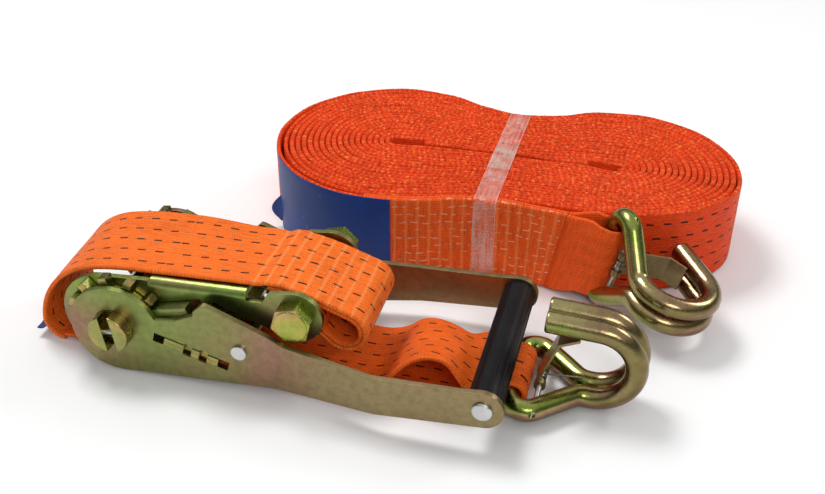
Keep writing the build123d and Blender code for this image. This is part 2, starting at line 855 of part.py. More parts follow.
def teardrop(radius, apex, half_width):
    """A round eye drawn out to a neck of a given half width, along +X."""
    reach = hypot(apex, half_width)
    lean = degrees(atan2(half_width, apex))
    touch = lean + degrees(acos(radius / reach))
    touch_x = radius * cos(radians(touch))
    touch_y = radius * sin(radians(touch))
    neck = area((0, 0), (touch_x, -touch_y), (apex, -half_width), (apex, half_width),
                   (touch_x, touch_y))
    return Circle(radius) + neck


def sewn_route():
    exit_x = bolt_x + eye_neck * cos(radians(eye_exit_angle))
    exit_z = bolt_z + eye_neck * sin(radians(eye_exit_angle))
    route = Route(exit_x, exit_z, eye_exit_angle)
    route.ahead(eye_tail).turn(loop_radius, loop_turn).ahead(loop_rise)
    route.turn(sewn_bend_radius, sewn_bend_turn).ahead(sewn_end_run)
    return route


def top_route():
    """The single layer over the frame, from the end of the sewn part to the left."""
    end = sewn_route().steps[-1][2]
    start = sideways(end, strap_thick / 2)
    route = Route(start.X, start.Y, end[2])
    return route.turn(kink_radius, 180 + top_fall - end[2]).ahead(top_run)


def bend_route():
    """Round the left end and on to the floor."""
    start = top_route()
    route = Route(start.x, start.y, start.heading).ahead(bend_run)
    route.turn(shoulder_radius, shoulder_turn).turn(side_radius, side_turn)
    drop = route.y - strap_thick / 2
    steepness = cos(radians(360 - route.heading))
    return route.turn(drop / (1 - steepness), 360 - route.heading)


def make_short_strap_upper():
    tail = rise(bolt_strap_eye(), strap_width)
    double = band(sewn_route(), strap_width, strap_thick, -strap_thick)
    single = band(top_route(), strap_width)
    return crosswise(tail + double + single, strap_width)


def bolt_strap_eye():
    inner_radius = sleeve_radius + eye_play
    outer = teardrop(inner_radius + strap_thick, eye_neck, strap_thick)
    inner = teardrop(inner_radius, eye_neck - 2.0, 0.4)
    return Pos(bolt_x, bolt_z) * (Rot(0, 0, eye_exit_angle) * (outer - inner))


def make_short_strap_bend():
    route = bend_route()
    turned = band(route, strap_width)
    doubled = Route(route.x, strap_thick, 0)
    doubled.ahead(lower_start_x - route.x)
    turned = turned + band(doubled, strap_width, strap_thick, -strap_thick)
    return crosswise(turned, strap_width)


def lower_eye_route():
    """Upper layer over the hump, under the grip and round the hook's bar."""
    route = Route(hump_start_x, 1.5 * strap_thick, 0)
    route.sway(hump_peak_x - hump_start_x, hump_height)
    route.sway(dip_x - hump_peak_x, dip_height - route.y)
    along = short_hook_x - dip_x
    across = short_hook_z - dip_height - dip_radius
    reach = hypot(along, across)
    rise_angle = degrees(atan2(across, along) + asin((dip_radius + eye_radius) / reach))
    route.turn(dip_radius, rise_angle)
    route.ahead(sqrt(reach**2 - (dip_radius + eye_radius) ** 2))
    return route.turn(eye_radius, -180 - rise_angle)


def make_short_strap_lower():
    doubled = Route(lower_start_x, strap_thick, 0)
    doubled.ahead(hump_start_x + 2.0 - lower_start_x)
    strap = band(doubled, strap_width, strap_thick, -strap_thick)
    under = Route(hump_start_x, strap_thick / 2, 0)
    under.ahead(short_hook_x - hump_start_x)
    strap = strap + band(lower_eye_route(), strap_width) + band(under, strap_width)
    strap = crosswise(strap, strap_width)
    side = (strap_width - eye_waist) / 2
    trim = Box(60, side, 40, align=(Align.MIN, Align.MIN, Align.CENTER))
    trim = Pos(short_hook_x - rod_radius - seat_gap, eye_waist / 2, short_hook_z) * trim
    return strap - both_sides(trim)


def make_strap_tag():
    places = bend_route().samples(1.0)
    left = min(x for x, z in places if abs(z - tag_height) < 1.5) - strap_thick / 2
    tag = Box(5.0, tag_width, 0.6, align=(Align.MAX, Align.MIN, Align.MIN))
    return Pos(left - tape_gap, -half_strap, tag_height) * (Rot(0, -25, 0) * tag)


# ------------------------------------------------------------------ long strap

def lobe_radius(turn):
    return coil_first_radius + coil_pitch * turn


def front_route(route, turn):
    """From under the left lobe, into the waist and on to the right lobe's middle."""
    route.sway(lobe_spread + front_dent_x, front_dip + waist_pinch * turn)
    return route.ahead(lobe_spread - front_dent_x)


def last_growth():
    """Room for the sewn double end between the last turn and the layer outside it."""
    return 2 * strap_thick + sewn_gap


def coil_route():
    """The spiral, round two lobes, pinched at its waist, from the core outwards."""
    route = Route(lobe_spread, -lobe_radius(0) + front_dip, 0)
    for turn in range(coil_turns):
        radius = lobe_radius(turn)
        if turn:
            front_route(route, turn)
        front = radius - front_dip - waist_pinch * turn
        route.quarter(radius, front, corner_share * front)
        route.turn(radius, 90)
        pinch = waist_dip + waist_pinch * turn
        route.sway(lobe_spread, pinch).sway(lobe_spread, -pinch)
        growth = coil_pitch if turn < coil_turns - 1 else last_growth()
        route.turn(radius + growth / 2, 180)
    return route


def last_front():
    """The front of the last full turn, that the sewn double end lies against."""
    return Route(-lobe_spread, -lobe_radius(coil_turns - 1), 0)


def least_gap(route):
    """Least distance between turns of a route, less the webbing's thickness."""
    places = route.samples(2.5)
    least = 1e9
    total = 0.0
    reached = [0.0]
    for before, after in zip(places, places[1:]):
        total += hypot(after[0] - before[0], after[1] - before[1])
        reached.append(total)
    cells = {}
    for i, (x, y) in enumerate(places):
        cells.setdefault((int(x // 5), int(y // 5)), []).append(i)
    for i, (x, y) in enumerate(places):
        for across in (-1, 0, 1):
            for along in (-1, 0, 1):
                for j in cells.get((int(x // 5) + across, int(y // 5) + along), []):
                    if reached[j] - reached[i] > 12:
                        least = min(least, hypot(places[j][0] - x, places[j][1] - y))
    return least - strap_thick


def at_coil(shape):
    return Pos(coil_x, coil_y, coil_bottom) * shape


def make_long_strap_coil():
    route = coil_route()
    print("coil: webbing length %.0f mm, least gap between turns %.2f mm"
          % (route.length(), least_gap(route)))
    return at_coil(band(route, strap_width))


def at_coil_bottom(shape):
    return Pos(0, 0, coil_bottom) * shape


def make_long_strap_eye():
    """The sewn double end, beside the last turn, and its eye round the hook's bar."""
    outer = -strap_thick / 2 - sewn_gap - 2 * strap_thick
    beside = last_front()
    beside.sway(lobe_spread + front_dent_x, front_dip + waist_pinch * (coil_turns - 1))
    doubled = at_coil(band(beside, strap_width, outer + 2 * strap_thick, outer))
    start = long_neck_start()
    swing, run = long_neck_swing()
    neck = Route(start.X, start.Y, 0).turn(long_eye_bend, -swing)
    neck.ahead(run - long_hook_tail + half_strap * tan(radians(long_bar_lean)) + 1.0)
    neck_band = at_coil_bottom(band(neck, strap_width, strap_thick, -strap_thick))
    inner_radius = rod_radius + long_eye_slack
    ring = teardrop(inner_radius + strap_thick, long_hook_tail, strap_thick)
    ring = ring - teardrop(inner_radius, long_hook_tail - 11.0, 0.4)
    ring = Rot(0, 0, 180 - swing) * ring
    bar = long_bar_direction()
    foot = bar * ((long_hook_z - coil_bottom) / bar.Z)
    ring = Pos(long_hook_x - foot.X, long_hook_y - foot.Y, 0) * ring
    ring = extrude(ring, amount=strap_width / bar.Z, dir=bar)
    strap = doubled + neck_band + at_coil_bottom(ring)
    lean = radians(long_bar_lean)
    waist = eye_waist * cos(lean) - 2 * (inner_radius + strap_thick) * sin(lean)
    shift = half_strap * tan(lean)
    trim = Box(40, 40, strap_width, align=(Align.MIN, Align.CENTER, Align.CENTER))
    trim_x = long_hook_x - rod_radius - shift
    for side in (-1, 1):
        trim_z = long_hook_z + side * (waist + strap_width) / 2
        strap = strap - Pos(trim_x, long_hook_y, trim_z) * trim
    return strap


def make_coil_tape():
    """A flat loop round the coil's waist."""
    front_y = waist_front() - tape_gap
    back_y = waist_back() + tape_gap
    inner = Box(tape_width, back_y - front_y, strap_width + tape_gap,
                align=(Align.CENTER, Align.MIN, Align.MIN))
    outer = Box(tape_width, back_y - front_y + 2 * tape_thick,
                strap_width + tape_gap + 2 * tape_thick,
                align=(Align.CENTER, Align.MIN, Align.MIN))
    loop = Pos(0, -tape_thick, -tape_thick) * outer - inner
    return at_coil(Pos(0, front_y, 0) * loop)


def waist_front():
    """Nearest reach of the sewn end in front of the middle, under the tape."""
    depth = front_dip + waist_pinch * (coil_turns - 1)
    run = lobe_spread + front_dent_x
    left = front_dent_x + tape_width / 2
    radius = (run**2 + depth**2) / (4 * depth)
    short = radius - sqrt(radius**2 - left**2)
    middle = -lobe_radius(coil_turns - 1) + depth - short
    slope = asin(left / radius)
    return middle - (2.5 * strap_thick + sewn_gap) / cos(slope)


def waist_back():
    """Farthest reach of the last turn behind the middle, at the waist."""
    last = coil_turns - 1
    waist = lobe_radius(last) - waist_dip - waist_pinch * last
    return waist + strap_thick / 2 + tape_side_rise()


def tape_side_rise():
    """How far the last turn rises from its waist by the tape's edge."""
    last = coil_turns - 1
    pinch = waist_dip + waist_pinch * last
    radius = (lobe_spread**2 + pinch**2) / (4 * pinch)
    return radius - sqrt(radius**2 - (tape_width / 2) ** 2)


def label_route():
    """Along the outermost layer, from the left side round to the front."""
    left_radius = lobe_radius(coil_turns - 1) + last_growth() / 2
    end = coil_route()
    start = Route(end.x, end.y, 180).turn(left_radius, -label_wrap)
    route = Route(start.x, start.y, start.heading + 180)
    route.turn(left_radius, label_wrap)
    depth = front_dip + waist_pinch * (coil_turns - 1)
    run = lobe_spread + front_dent_x
    bend = (run**2 + depth**2) / (4 * depth) + last_growth()
    return route.turn(bend, degrees(label_run / bend))


def make_strap_label():
    """Glossy label round the coil's left front, outside the last turn."""
    outside = -strap_thick / 2 - tape_gap
    return at_coil(band(label_route(), strap_width, outside, outside - label_thick))


def make_label_flap():
    """The label's loose lower corner, standing off the coil."""
    edge = label_route().steps[0][0]
    corner = sideways(edge, -strap_thick / 2 - tape_gap - label_thick / 2)
    flap = rise(area((-seat_gap, 0), (-3.0, 6.0), (-seat_gap, 18.0)), label_thick)
    flap = Pos(0, label_thick / 2, 0) * (Rot(90, 0, 0) * flap)
    flap = Rot(0, 0, edge[2] + 28) * flap
    return Pos(coil_x + corner.X, coil_y + corner.Y, coil_bottom + 12.0) * flap


# ------------------------------------------------------------------ all nodes

def make_nodes():
    nodes = {
        "base_frame": make_base_frame(),
        "anchor_bolt": make_anchor_bolt(),
        "anchor_nut": make_anchor_nut(),
        "anchor_sleeve": make_anchor_sleeve(),
        "lock_pawl": make_lock_pawl(),
        "lock_pawl_spring": make_lock_spring(),
        "mandrel_half_front": make_mandrel_half(-1),
        "mandrel_half_rear": make_mandrel_half(1),
        "mandrel_pins": make_mandrel_pins(),
        "ratchet_wheel_near": make_wheel(-1),
        "ratchet_wheel_far": make_wheel(1),
        "handle_plate_near": make_handle_plate(-1),
        "handle_plate_far": make_handle_plate(1),
        "stop_bar": make_stop_bar(),
        "drive_pawl": make_drive_pawl(),
        "drive_pawl_springs": make_drive_springs(),
        "grip_sleeve": make_grip_sleeve(),
        "grip_rivet": make_grip_rivet(),
        "short_strap_upper": make_short_strap_upper(),
        "short_strap_bend": make_short_strap_bend(),
        "short_strap_lower": make_short_strap_lower(),
        "strap_tag": make_strap_tag(),
        "long_strap_coil": make_long_strap_coil(),
        "long_strap_eye": make_long_strap_eye(),
        "coil_tape": make_coil_tape(),
        "strap_label": make_strap_label(),
        "label_flap": make_label_flap(),
    }
    for name, make in hook_parts.items():
        solid = make()
        nodes["short_" + name] = make_short_hook_place() * solid
        nodes["long_" + name] = make_long_hook_place() * solid
    return nodes


def solids_of(shape):
    if isinstance(shape, (list, tuple)):
        return [solid for piece in shape for solid in piece.solids()]
    return list(shape.solids())


def place(nodes):
    """Moves the layout so that its footprint is centred on the origin."""
    compounds = {name: Compound(children=solids_of(shape)) for name, shape in nodes.items()}
    box = Compound(children=[copy_of(shape) for shape in compounds.values()]).bounding_box()
    shift = Vector(-box.center().X, -box.center().Y, -box.min.Z)
    moved = {name: shape.moved(Location(shift)) for name, shape in compounds.items()}
    return moved, shift


def copy_of(shape):
    return shape.moved(Location((0, 0, 0)))


parts, layout_shift = place(make_nodes())
os.makedirs("parts", exist_ok=True)
for node, shape in parts.items():
    export_step(shape, os.path.join("parts", node + ".step"))
print("layout shift: %.3f %.3f %.3f" % tuple(layout_shift))
print("nodes:", len(parts))
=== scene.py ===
import json
from math import acos, asin, atan2, ceil, cos, degrees, exp, hypot, pi, radians, sin, sqrt

import bpy
from mathutils import Matrix, Vector, noise


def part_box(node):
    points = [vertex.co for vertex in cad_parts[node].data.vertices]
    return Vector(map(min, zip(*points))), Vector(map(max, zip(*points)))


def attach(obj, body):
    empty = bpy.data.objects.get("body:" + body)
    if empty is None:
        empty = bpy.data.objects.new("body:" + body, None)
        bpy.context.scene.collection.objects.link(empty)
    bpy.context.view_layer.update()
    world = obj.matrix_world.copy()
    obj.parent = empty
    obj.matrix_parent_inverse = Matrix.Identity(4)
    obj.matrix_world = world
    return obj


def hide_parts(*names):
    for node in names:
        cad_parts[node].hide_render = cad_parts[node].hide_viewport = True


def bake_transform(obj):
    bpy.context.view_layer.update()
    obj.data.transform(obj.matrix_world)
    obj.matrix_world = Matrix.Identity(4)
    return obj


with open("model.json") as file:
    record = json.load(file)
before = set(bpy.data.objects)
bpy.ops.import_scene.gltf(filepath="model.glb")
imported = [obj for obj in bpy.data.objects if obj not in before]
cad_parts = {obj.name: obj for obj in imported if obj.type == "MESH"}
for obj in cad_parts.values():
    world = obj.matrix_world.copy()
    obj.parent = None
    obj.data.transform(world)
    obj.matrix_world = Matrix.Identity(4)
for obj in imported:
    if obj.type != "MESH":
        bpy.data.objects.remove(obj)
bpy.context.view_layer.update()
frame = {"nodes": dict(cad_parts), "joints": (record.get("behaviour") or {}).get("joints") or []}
nodes = frame["nodes"]
joints = {joint["name"]: joint for joint in frame["joints"]}

# The layout is drawn in millimetres from the floor under the winding shaft's axis.
shaft = joints["mandrel_turn"]["pos_m"]
ORIGIN = Vector((shaft[0], shaft[1], 0.0))


def at(x, y, z):
    return ORIGIN + Vector((x, y, z)) / 1000


def in_layout(corners):
    """A node's lowest and highest corners, in the layout's millimetres."""
    return [(corner - ORIGIN) * 1000 for corner in corners]


# ------------------------------------------------------------------ sizes, as in the frame

HALF = 25.0
THICK = 2.3
ROD = 5.5
SLEEVE = 7.0
EYE_PLAY = 0.25
EYE_R = ROD + EYE_PLAY + THICK / 2
AXIS_Z = 27.0

FRAME_PITCH = radians(2.5)
BOLT_AHEAD, BOLT_RISE = 93.8, 12.8
BOLT_X = BOLT_AHEAD * cos(FRAME_PITCH) - BOLT_RISE * sin(FRAME_PITCH)
BOLT_Z = AXIS_Z + BOLT_AHEAD * sin(FRAME_PITCH) + BOLT_RISE * cos(FRAME_PITCH)

# the short strap leaves the bolt's eye at EXIT degrees, NECK from the bolt's axis
EXIT, NECK = -43.4, 14.5
TOP_SLOPE = 2.9
LOW_START = -15.0
HOOK1_X, HOOK1_Z = 196.5, 8.05

COIL_X, COIL_Y, COIL_Z = 160.0, 153.5, 0.45
TURNS, PITCH, FIRST = 19, 3.64, 4.1
SPREAD, DIP, PINCH = 67.0, 5.0, 0.78
FRONT_DIP, DENT, SHARE = 0.4, 10.0, 0.72

SEWN_GAP = 0.15
DOUBLE = 2 * THICK + SEWN_GAP
TAIL = 26.0
LONG_EYE_PLAY = 1.6
END_BEND = 60.0
RIB_PITCH = 6.4
LANE = 5.0

LABEL_WRAP, LABEL_RUN = 58.0, 16.0
TAPE_CORNER = 3.5


def smooth(low, high, value):
    share = min(1.0, max(0.0, (value - low) / (high - low)))
    return share * share * (3 - 2 * share)


def bump(low, peak, high, value):
    return smooth(low, peak, value) if value < peak else 1 - smooth(peak, high, value)


def wander(x, y, z=0.0):
    return noise.noise(Vector((x, y, z)))


# ------------------------------------------------------------------ routes


class Route:
    """A flat line of runs and arcs, sampled as it is walked."""

    def __init__(self, x, y, heading, spacing=2.0):
        self.x, self.y, self.heading, self.spacing = x, y, heading, spacing
        self.places = [(x, y, heading)]

    def ahead(self, length):
        count = max(1, ceil(length / self.spacing))
        x, y, lean = self.x, self.y, radians(self.heading)
        for i in range(1, count + 1):
            far = length * i / count
            self.places.append((x + far * cos(lean), y + far * sin(lean), self.heading))
        self.x, self.y = self.places[-1][:2]
        return self

    def turn(self, radius, angle):
        side = 1 if angle > 0 else -1
        away = radians(self.heading + 90 * side)
        mid_x, mid_y = self.x + radius * cos(away), self.y + radius * sin(away)
        arc = radius * radians(abs(angle))
        count = max(2, ceil(arc / self.spacing), ceil(abs(angle) / 9))
        for i in range(1, count + 1):
            bend = angle * i / count
            bearing = radians(self.heading - 90 * side + bend)
            self.places.append((mid_x + radius * cos(bearing), mid_y + radius * sin(bearing),
                                self.heading + bend))
        self.x, self.y, self.heading = self.places[-1]
        return self

    def quarter(self, along, across, last):
        """A quarter turn of two arcs, which goes further one way than the other."""
        if abs(along - across) < 0.01:
            return self.turn(along, 90)
        first = (along**2 + across**2 - 2 * along * last) / (2 * (across - last))
        spread = first - last
        share = degrees(atan2((along - last) / spread, (first - across) / spread))
        self.turn(first, share)
        return self.turn(last, 90 - share)

    def sway(self, along, across):
        """Two equal arcs, one each way, which end on the same heading."""
        if abs(across) < 0.05:
            return self.ahead(along)
        swing = degrees(2 * atan2(abs(across), along))
        radius = (along**2 + across**2) / (4 * abs(across))
        side = 1 if across > 0 else -1
        self.turn(radius, side * swing)
        return self.turn(radius, -side * swing)


def shifted(place, left):
    """A place moved sideways, to the left for a positive distance."""
    lean = radians(place[2])
    return (place[0] - left * sin(lean), place[1] + left * cos(lean), place[2])


def walked(places):
    """Each place with its distance from the first."""
    far = 0.0
    yield places[0], far
    for before, after in zip(places, places[1:]):
        far += hypot(after[0] - before[0], after[1] - before[1])
        yield after, far


def length_of(places):
    return list(walked(places))[-1][1]


def eye_places(start, centre, radius, off):
    """From beside a neck, round a bar, and back to the neck's other side."""
    ahead = atan2(centre[1] - start[1], centre[0] - start[0])
    reach = hypot(centre[0] - start[0], centre[1] - start[1])
    touch = atan2(off, -reach) - acos(radius / hypot(reach, off))
    tangent = (radius * cos(touch), radius * sin(touch))
    steps, arc_steps = 5, 28
    flat = [(-reach, off)]
    for i in range(1, steps):
        share = i / steps
        flat.append((-reach + (tangent[0] + reach) * share, off + (tangent[1] - off) * share))
    for i in range(arc_steps + 1):
        bearing = touch - 2 * touch * i / arc_steps
        flat.append((radius * cos(bearing), radius * sin(bearing)))
    for i in range(1, steps + 1):
        share = i / steps
        flat.append((tangent[0] - (tangent[0] + reach) * share,
                     -tangent[1] + (tangent[1] - off) * share))
    places = []
    for i, (x, y) in enumerate(flat):
        before, after = flat[max(0, i - 1)], flat[min(len(flat) - 1, i + 1)]
        heading = degrees(atan2(after[1] - before[1], after[0] - before[0]) + ahead)
        places.append((centre[0] + x * cos(ahead) - y * sin(ahead),
                       centre[1] + x * sin(ahead) + y * cos(ahead), heading))
    return places


# ------------------------------------------------------------------ meshes


def mesh_object(name, verts, faces, coordinates, material):
    mesh = bpy.data.meshes.new(name)
    mesh.from_pydata([tuple(v) for v in verts], [], faces)
    layer = mesh.uv_layers.new(name="webbing")
    for polygon in mesh.polygons:
        polygon.use_smooth = len(polygon.vertices) < 5
        for loop in polygon.loop_indices:
            u, v = coordinates[mesh.loops[loop].vertex_index]
            layer.data[loop].uv = (u / 1000, v / 1000)
    mesh.materials.append(material)
    mesh.validate()
    obj = bpy.data.objects.new(name, mesh)
    bpy.context.scene.collection.objects.link(obj)
    return obj


def section(half, thick, columns, edge):
    """Points round the webbing's flat section, as (across, up), from the left edge over the top."""
    inner = half - edge
    top = [(-inner + 2 * inner * i / columns, thick / 2) for i in range(columns + 1)]
    right = [(half - 0.3 * edge, 0.36 * thick), (half, 0.0), (half - 0.3 * edge, -0.36 * thick)]
    bottom = [(-a, -n) for a, n in top]
    left = [(-a, -n) for a, n in right]
    return top + right + bottom + left


def ribbon(name, places, material, lift, thick=THICK, half=HALF, columns=24, edge=0.9,
           relief=None, start_v=0.0, closed=(True, True)):
    """Webbing along a route. lift turns (x, y, across, place, station) into a point; thick and half
    may be functions of (share, place); relief(across, station, side, place) is added to the
    thickness, and a third of it at the edges. closed says which ends have a cap."""
    verts, coordinates, faces = [], [], []
    count = len(places)
    for i, (place, station) in enumerate(walked(places)):
        share = i / (count - 1)
        t = thick(share, place) if callable(thick) else thick
        h = half(share, place) if callable(half) else half
        ring = section(h, t, columns, edge)
        for a, n in ring:
            extra = 0.0
            if relief:
                extra = relief(a, station, 1 if n > 0 else -1, place)
                extra *= 1 if abs(n) > 0.1 * t else 0.3
            x, y, _ = shifted(place, n + extra)
            verts.append(lift(x, y, a, place, station))
            coordinates.append((a * HALF / h if h > 20 else a, station + start_v))
    per = len(ring)
    for i in range(count - 1):
        for k in range(per):
            after = (k + 1) % per
            faces.append((i * per + k, (i + 1) * per + k, (i + 1) * per + after, i * per + after))
    if closed[0]:
        faces.append(tuple(range(per)))
    if closed[1]:
        faces.append(tuple(reversed(range((count - 1) * per, count * per))))
    return mesh_object(name, verts, faces, coordinates, material)


def thin_sheet(name, rows, columns, place, material, flipped=False):
    """A thin closed sheet over a grid. place(u, v, side) gives a point and its coordinates; flipped
    is for a place whose u and v run the other way round, as seen from outside."""
    verts, coordinates, faces = [], [], []
    for side in (0, 1):
        for i in range(rows + 1):
            for k in range(columns + 1):
                point, coordinate = place(i / rows, k / columns, side)
                verts.append(at(*point))
                coordinates.append(coordinate)
    per = columns + 1
    skin = (rows + 1) * per
    for side in (0, 1):
        for i in range(rows):
            for k in range(columns):
                corner = side * skin + i * per + k
                quad = (corner, corner + per, corner + per + 1, corner + 1)
                if flipped:
                    quad = quad[:1] + quad[:0:-1]
                faces.append(quad if side else quad[::-1])
    rim = [i * per for i in range(rows)]
    rim += [rows * per + k for k in range(columns)]
    rim += [i * per + columns for i in range(rows, 0, -1)]
    rim += list(range(columns, 0, -1))
    if flipped:
        rim = rim[:1] + rim[:0:-1]
    for a, b in zip(rim, rim[1:] + rim[:1]):
        faces.append((a, b, b + skin, a + skin))
    return mesh_object(name, verts, faces, coordinates, material)


def lying(x, y, a, place, station):
    """Ratchet straps: the route is drawn in X and Z, and the webbing is as wide as Y."""
    return at(x, a, y)


# ------------------------------------------------------------------ material tools


class Nodes:
    """A short way to write node trees."""

    def __init__(self, name):
        self.material = bpy.data.materials.new(name)
        self.material.use_nodes = True
        self.tree = self.material.node_tree
        self.tree.nodes.clear()
        self.out = self.tree.nodes.new("ShaderNodeOutputMaterial")
        self.shader = self.tree.nodes.new("ShaderNodeBsdfPrincipled")
        self.tree.links.new(self.shader.outputs[0], self.out.inputs[0])

    def link(self, source, socket):
        if isinstance(source, bpy.types.NodeSocket):
            self.tree.links.new(source, socket)
        else:
            socket.default_value = source

    def new(self, kind, inputs=None, **settings):
        node = self.tree.nodes.new(kind)
        for key, value in settings.items():
            setattr(node, key, value)
        for key, value in (inputs or {}).items():
            self.link(value, node.inputs[key])
        return node

    def math(self, operation, a, b=0.0, c=0.0):
        return self.new("ShaderNodeMath", {0: a, 1: b, 2: c}, operation=operation).outputs[0]

    def add(self, a, b):
        return self.math("ADD", a, b)

    def times(self, a, b):
        return self.math("MULTIPLY", a, b)

    def times_add(self, a, factor, addend):
        return self.math("MULTIPLY_ADD", a, factor, addend)

    def off(self, a, middle):
        """The distance from a middle value."""
        return self.math("ABSOLUTE", self.math("SUBTRACT", a, middle))

    def under(self, a, limit):
        return self.math("LESS_THAN", a, limit)

    def over(self, a, limit):
        return self.math("GREATER_THAN", a, limit)

    def within(self, a, start, end):
        return self.times(self.over(a, start), self.under(a, end))

    def parts(self, vector):
        return self.new("ShaderNodeSeparateXYZ", {0: vector}).outputs

    def flat(self, x, y):
        return self.new("ShaderNodeCombineXYZ", {0: x, 1: y}).outputs[0]

    def texture(self, scale, detail=3.0, rough=0.5, vector=None, distortion=0.0):
        if vector is None:
            vector = self.new("ShaderNodeTexCoord").outputs["Object"]
        return self.new("ShaderNodeTexNoise", {"Vector": vector, "Scale": scale, "Detail": detail,
                                               "Roughness": rough,
                                               "Distortion": distortion}).outputs["Fac"]

    def ramp(self, factor, *stops):
        node = self.new("ShaderNodeValToRGB", {"Fac": factor})
        fill_ramp(node.color_ramp, stops)
        return node.outputs["Color"]

    def level(self, factor, low, high, to_low=0.0, to_high=1.0):
        return self.new("ShaderNodeMapRange", {"Value": factor, "From Min": low, "From Max": high,
                                               "To Min": to_low, "To Max": to_high}).outputs[0]

    def mix(self, factor, a, b, blend="MIX"):
        node = self.new("ShaderNodeMix", data_type="RGBA", blend_type=blend)
        for key, value in ((0, factor), (6, a), (7, b)):
            if not isinstance(value, bpy.types.NodeSocket) and key:
                value = (*value, 1.0)
            self.link(value, node.inputs[key])
        return node.outputs[2]

    def bump(self, height, strength, distance, normal=None):
        inputs = {"Height": height, "Strength": strength, "Distance": distance}
        if normal is not None:
            inputs["Normal"] = normal
        return self.new("ShaderNodeBump", inputs).outputs[0]

    def rounded(self, radius):
        """A normal that rounds sharp edges off."""
        return self.new("ShaderNodeBevel", {"Radius": radius}, samples=4).outputs[0]

    def set(self, **values):
        for key, value in values.items():
            self.link(value, self.shader.inputs[key.replace("_", " ")])
        return self.material


def fill_ramp(ramp, stops):
    while len(ramp.elements) < len(stops):
        ramp.elements.new(0.5)
    for element, (place, colour) in zip(ramp.elements, stops):
        element.position = place
        element.color = (*colour, 1.0)


def shaded(colour, share):
    return tuple(c * share for c in colour)


# ------------------------------------------------------------------ metals, plastic and films


def zinc_bands(green, gold, rose):
    """Colours of passivated zinc, painted by how a face turns as a stand-in for its play of reflected light,
    from faces that look down to faces that look up.
    """
    return ((0.12, rose), (0.34, gold), (0.52, green), (0.70, green), (0.86, gold), (1.0, rose))


def passivated(name, bands, rough, painted_turn_share, patch=9.0, side=0.18, blush=None, heads=None):
    """Yellow passivated zinc: bands of colour by patches, and painted light and shade by how a face turns
    (painted_turn_share, and side for faces that look along X). blush is (colour, start, end, most), along X;
    heads is (colour, reach), past reach from the middle."""
    n = Nodes(name)
    coordinates = n.new("ShaderNodeTexCoord").outputs
    turn = n.parts(coordinates["Normal"])
    # painted light: the band is picked by how the face turns, standing in for highlights and reflections,
    # with side shifting faces that look along X
    painted_turn_light = n.add(n.times_add(turn["Z"], 0.5, 0.5), n.times(turn["X"], side))
    patches = n.texture(patch, 2.0, 0.45, distortion=0.3)
    clouds = n.level(patches, 0.32, 0.68, -0.5, 0.5)
    spots = n.level(n.texture(patch * 4, 2.0, 0.5), 0.3, 0.7, -0.05, 0.05)
    tone = n.times_add(painted_turn_light, painted_turn_share, 0.5 - 0.5 * painted_turn_share)
    tone = n.times_add(clouds, 1.0 - painted_turn_share * 0.6, tone)
    colour = n.ramp(n.add(tone, spots), *bands)
    place = n.parts(coordinates["Object"])
    if blush:
        rose, start, end, most = blush
        share = n.add(n.level(place["X"], start, end, 0.0, 1.1),
                      n.level(patches, 0.3, 0.7, -0.35, 0.25))
        share = n.math("MINIMUM", n.math("MAXIMUM", share, 0.0), most)
        colour = n.mix(share, colour, rose)
    scratch = n.new("ShaderNodeMapping", {"Vector": coordinates["Object"], "Scale": (90.0, 90.0, 900.0)})
    lines = n.texture(6.0, 2.0, 0.6, vector=scratch.outputs[0])
    dirt = n.level(n.texture(260.0, 3.0, 0.6), 0.3, 0.62, 0.82, 1.06)
    grey = n.new("ShaderNodeCombineColor", {0: dirt, 1: dirt, 2: dirt}).outputs[0]
    colour = n.mix(1.0, colour, grey, "MULTIPLY")
    if heads:
        steel, reach = heads
        colour = n.mix(n.over(n.off(place["Y"], ORIGIN.y), reach), colour, steel)
    fine = n.bump(lines, 0.12, 0.0002, n.rounded(0.0006))
    grain = n.bump(n.texture(1500.0, 2.0), 0.07, 0.0002, fine)
    return n.set(Base_Color=colour, Metallic=1.0, Normal=grain,
                 Roughness=n.level(lines, 0.25, 0.75, rough - 0.07, rough + 0.12))


def plain_metal(name, colour, rough):
    n = Nodes(name)
    tone = n.ramp(n.texture(60.0, 4.0, 0.6), (0.3, shaded(colour, 0.72)), (0.7, colour))
    grain = n.bump(n.texture(900.0, 2.0), 0.15, 0.0002, n.rounded(0.0003))
    return n.set(Base_Color=tone, Metallic=1.0, Normal=grain,
                 Roughness=n.level(n.texture(300.0), 0.3, 0.7, rough - 0.06, rough + 0.1))


def black_plastic(name):
    n = Nodes(name)
    grain = n.bump(n.texture(1100.0, 3.0, 0.6), 0.25, 0.0002, n.rounded(0.0004))
    cloud = n.texture(35.0, 4.0)
    colour = n.ramp(cloud, (0.3, (0.004, 0.004, 0.005)), (0.75, (0.010, 0.010, 0.011)))
    return n.set(Base_Color=colour, Normal=grain, Roughness=n.level(cloud, 0.3, 0.7, 0.32, 0.44),
                 Specular_IOR_Level=0.16)


def glossy_film(name, colour):
    """Unprinted film: a faint mottle, small creases, and rubbed edges."""
    n = Nodes(name)
    cloud = n.texture(26.0, 4.0, 0.6)
    wear = n.level(n.texture(190.0, 5.0, 0.7), 0.66, 0.74, 0.0, 0.5)
    tone = n.ramp(cloud, (0.3, shaded(colour, 0.72)), (0.75, shaded(colour, 1.2)))
    tone = n.mix(wear, tone, (0.25, 0.33, 0.5))
    crease = n.bump(n.texture(70.0, 3.0, 0.5), 0.10, 0.0012)
    return n.set(Base_Color=tone, Normal=crease, Roughness=n.level(cloud, 0.3, 0.7, 0.4, 0.55),
                 Specular_IOR_Level=0.3, Coat_Weight=0.1, Coat_Roughness=0.3)


